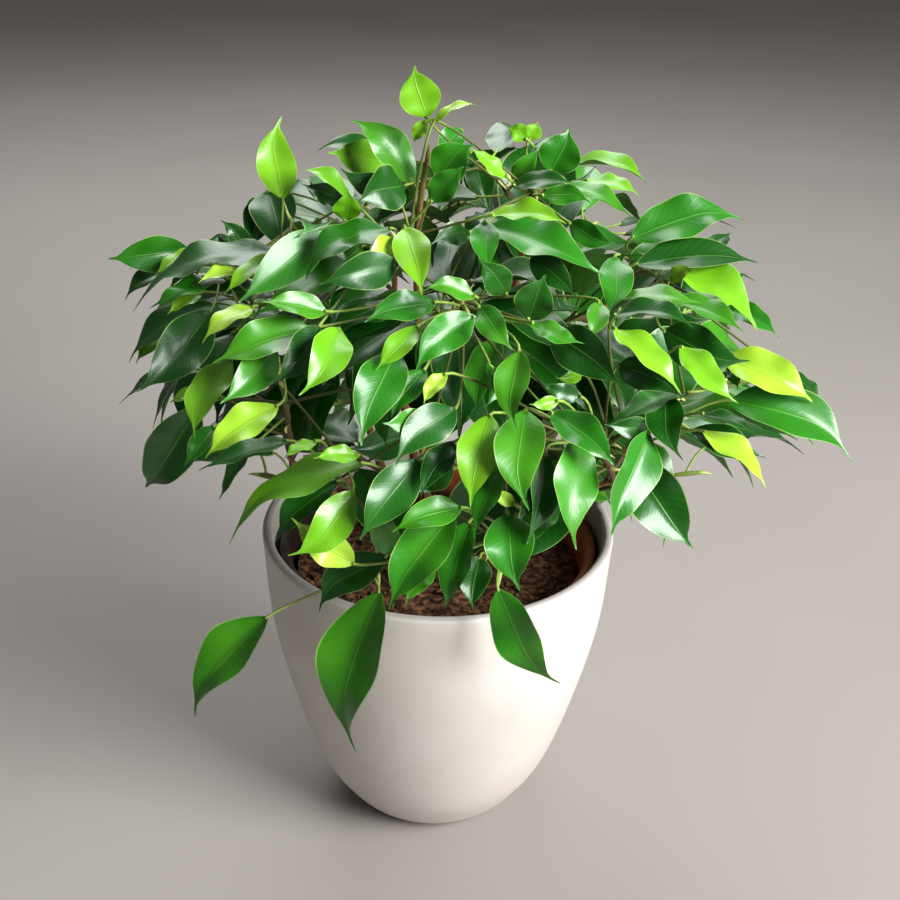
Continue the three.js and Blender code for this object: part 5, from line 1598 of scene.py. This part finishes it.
def petiole(leaf):
    """Corners, faces and marks of a leaf stalk: it leaves the shoot straight and bends into
    line with the blade over its last few millimetres. Its first part is a bare twig where
    the leaf stands far from the shoot."""
    root, base = leaf["root"], leaf["base"]
    ahead = unit(leaf["tip"] - base + leaf["normal"] * (4 * leaf["arch"]))
    length = length_of(base - root)
    bend = base - ahead * min(0.3 * length, PETIOLE_BEND)
    t = np.linspace(0, 1, PETIOLE_STEPS)
    line = bow_at((root, bend, base + ahead * PETIOLE_LAP), t)
    radius = STALK_RADIUS * (1 + STALK_SWELL * (2 * t - 1) ** 2)
    corners, faces = tube(line, radius, PETIOLE_ROUND)
    fresh = 1 - TWIG_AGE * np.clip((length * (1 - t) - PETIOLE_LENGTH) / TWIG_FADE, 0, 1)
    marks = np.zeros((len(corners), 3))
    marks[:-2, 0] = PETIOLE_FRESH * np.repeat(fresh, PETIOLE_ROUND)
    marks[-2:, 0] = PETIOLE_FRESH * fresh[[0, -1]]
    return corners, faces, marks


def stipule(leaf, chance):
    """Corners, faces and marks of the pale sheath that a new leaf has shed: a thin tongue
    that stands at the foot of its stalk and curls back."""
    reach = unit(leaf["base"] - leaf["root"])
    aside = square_to(unit(leaf["normal"] + reach * 0.1), reach)
    length = STIPULE_LENGTH * (LEAST_STIPULE + STIPULE_CHANGE * next(chance))
    start = leaf["root"] + aside * STIPULE_FOOT
    up, out = STIPULE_MIDDLE
    middle = start + (reach * up + aside * out) * length
    up, out = STIPULE_END
    end = start + (reach * (up - next(chance)) + aside * out) * length
    line = bow_at((start, middle, end), np.linspace(0, 1, len(STIPULE_RADII)))
    corners, faces = tube(line, STIPULE_RADII, STIPULE_ROUND)
    marks = np.zeros((len(corners), 3))
    marks[:, 0] = 1.0
    return corners, faces, marks


def green_shoot(shoot, chance):
    """Corners, faces and marks of a shoot, ringed at its leaves, and of its pointed end bud,
    which stands just past the last leaf and bends to one side."""
    t = np.linspace(0, 1, SHOOT_RINGS)
    line = bow_at(shoot["bows"], t)
    roots = np.array([leaf["root"] for leaf in shoot["leaves"]])
    away = np.linalg.norm(line[:, None] - roots, axis=-1)
    kept = min(away.argmin(axis=0).max() + BUD_RINGS, SHOOT_RINGS)
    line, t, away = line[:kept], t[:kept], away[:kept]
    radius = SHOOT_SLIMMER * (SHOOT_ROOT_RADIUS + (SHOOT_TIP_RADIUS - SHOOT_ROOT_RADIUS) * t)
    knots = np.exp(-(away / KNOT_REACH) ** 2).sum(axis=1).clip(0, MOST_KNOTS)
    radius = radius + LEAF_KNOT * knots
    ahead = unit(line[-1] - line[-2])
    aside = square_to(UP, ahead) * (next(chance) - BUD_ASIDE)
    length = BUD_LONGEST * (LEAST_BUD + BUD_CHANGE * next(chance))
    bud = np.outer(BUD_REACH, ahead) + np.outer(BUD_REACH ** 2, aside)
    line = np.vstack([line, line[-1] + bud * length])
    radius = np.concatenate([radius, BUD_RADII])
    corners, faces = tube(line, radius, SHOOT_ROUND)
    fresh = np.full(len(line), SHOOT_FRESH)
    fresh[:kept] *= np.clip(t * (1 + WOODY_SHARE) - WOODY_SHARE, 0, 1)
    marks = np.zeros((len(corners), 3))
    marks[:-2, 0] = np.repeat(fresh, SHOOT_ROUND)
    marks[-1, 0] = SHOOT_FRESH
    return corners, faces, marks


def blade_look():
    """The finish of the blades, from their own coordinates, age and chance."""
    look = Look("fig_blade", {
        "IOR": 1.48, "Specular Tint": (0.86, 1.0, 0.88, 1.0), "Coat Roughness": 0.2})
    marks = look.node("ShaderNodeAttribute", {"attribute_name": "blade"}, {}, "Vector")
    across, along, under = (look.part(marks, axis) for axis in "XYZ")
    kind = look.node("ShaderNodeAttribute", {"attribute_name": "leaf"}, {}, "Vector")
    age, chance = look.part(kind, "X"), look.part(kind, "Y")
    edge = abs(across)
    cloud = look.noise(60.0, 3.0)
    fine = look.noise(900.0, 3.0)
    stops = [(0.0, srgb(LEAF_DARK)), (0.34, srgb(LEAF_MID)), (0.67, srgb(LEAF_YOUNG)),
             (1.0, srgb(LEAF_PALE))]
    colour = look.node("ShaderNodeValToRGB", {"stops": stops}, {
        "Fac": age * 0.333 + (chance - 0.5) * 0.2 + (cloud - 0.5) * 0.16})
    veins = (along * 13.0 - edge * 2.6) % 1.0
    vein = look.fade(abs(veins - 0.5), 0.3, 0.5) * look.fade(edge, 0.04, 0.16)
    rib = 1 - look.fade(edge, 0.012, 0.05)
    margin = look.fade(edge, 0.95, 0.99)
    colour = look.blend(vein * 0.035, colour, srgb(LEAF_RIB))
    colour = look.blend(rib * 0.28, colour, srgb(LEAF_RIB))
    colour = look.blend(margin * 0.55, colour, srgb(LEAF_MARGIN))
    below = look.fade(under, 0.55, 0.9)
    look.feed(look.shader, {
        "Base Color": look.blend(below * 0.4, colour, srgb(LEAF_UNDER)),
        "Roughness": 0.3 + cloud * 0.12 + below * 0.22,
        "Coat Weight": 0.3 - below * 0.27,
    })
    look.bump(vein * 0.08 + rib * 0.5 + fine * 0.05 + cloud * 0.8, 0.0003, 0.6)
    return look.material


def twig_look():
    """The finish of the shoots and stalks: tan and woody at the root, green at the tip."""
    look = Look("green_twig", {"IOR": 1.45})
    marks = look.node("ShaderNodeAttribute", {"attribute_name": "blade"}, {}, "Vector")
    fresh = look.part(marks, "X")
    grain = look.noise(600.0, 4.0)
    stops = [(0.0, srgb(TWIG_OLD)), (0.45, srgb(TWIG_GREEN)), (0.8, srgb(PETIOLE_GREEN)),
             (1.0, srgb(STIPULE_PALE))]
    colour = look.node("ShaderNodeValToRGB", {"stops": stops}, {
        "Fac": fresh + (grain - 0.5) * 0.2})
    look.feed(look.shader, {"Base Color": colour, "Roughness": 0.45 + grain * 0.2})
    look.bump(grain, 0.0001, 0.6)
    return look.material


leaf_finish = blade_look()
twig_finish = twig_look()
blade_chance = seeded(BLADE_SEED)


def make_spray(name, shoot):
    """One mesh for a shoot and its leaves, with the blades' coordinates kept on it."""
    parts = [(*green_shoot(shoot, blade_chance), (0.0, 0.0), 1)]
    for leaf in shoot["leaves"]:
        kind = (leaf["age"], next(blade_chance))
        parts.append((*petiole(leaf), kind, 1))
        parts.append((*free_blade(leaf, blade_chance), kind, 0))
        if leaf["age"] >= YOUNG:
            parts.append((*stipule(leaf, blade_chance), kind, 1))
    corners, faces = gathered([part[:2] for part in parts])
    spray = make_piece(name, corners, faces, [leaf_finish, twig_finish], sharp=75)
    marks = np.vstack([part[2] for part in parts])
    kinds = np.vstack([np.broadcast_to((*part[3], 0.0), (len(part[0]), 3)) for part in parts])
    for title, values in (("blade", marks), ("leaf", kinds)):
        kept = spray.data.attributes.new(title, "FLOAT_VECTOR", "POINT")
        kept.data.foreach_set("vector", values.astype(np.float32).ravel())
    finish = np.concatenate([np.full(len(part[1]), part[4], np.int32) for part in parts])
    spray.data.polygons.foreach_set("material_index", finish)
    return spray


leafy = [shoot for shoot in shoots if shoot["leaves"]]
for number, shoot in enumerate(leafy):
    spray = make_spray(f"Spray{number + 1:02d}", shoot)
    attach(spray, "root")
    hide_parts(f"spray_{number + 1:02d}")

# Floor and light
# A plain pale grey floor that the pot stands on, with soft daylight from a window on the
# right and from above and behind, which shines on the leaves.
FLOOR_SIZE = 6.0
FLOOR_GREY = (140, 134, 129)
SKY = (0.80, 0.80, 0.80, 1.0)
SKY_STRENGTH = 0.165
WINDOW_PLACE = (0.95, -0.65, 0.8)
WINDOW_SIZE = 0.7
WINDOW_POWER = 43.0
SKYLIGHT_PLACE = (-0.15, 0.85, 1.1)
SKYLIGHT_SIZE = 0.9
SKYLIGHT_POWER = 13.0

floor_look = Look("grey_floor", {"Roughness": 0.7})
floor_cloud = floor_look.noise(3.0, 2.0) * 0.2
floor_look.feed(floor_look.shader, {
    "Base Color": floor_look.blend(floor_cloud, srgb(FLOOR_GREY), srgb(GLAZE)),
})
corner = FLOOR_SIZE / 2 / MM
floor = make_piece(
    "Floor",
    [(-corner, -corner, 0), (corner, -corner, 0), (corner, corner, 0), (-corner, corner, 0)],
    [(0, 1, 2, 3)],
    [floor_look.material],
)


def soft_light(name, place, size, power):
    """A square lamp that faces the plant."""
    lamp = bpy.data.lights.new(name, "AREA")
    lamp.size = size
    lamp.energy = power
    light = bpy.data.objects.new(name, lamp)
    bpy.context.scene.collection.objects.link(light)
    away = unit(np.array(place) - CROWN_CENTRE * MM)
    beside = unit(cross(UP, away))
    light.matrix_world = placed_at(np.array(place), beside, cross(away, beside))


soft_light("Window", WINDOW_PLACE, WINDOW_SIZE, WINDOW_POWER)
soft_light("Skylight", SKYLIGHT_PLACE, SKYLIGHT_SIZE, SKYLIGHT_POWER)
world = bpy.data.worlds.new("Room")
world.use_nodes = True
world.node_tree.nodes["Background"].inputs["Color"].default_value = SKY
world.node_tree.nodes["Background"].inputs["Strength"].default_value = SKY_STRENGTH
bpy.context.scene.world = world
bpy.context.scene.view_settings.view_transform = "Standard"
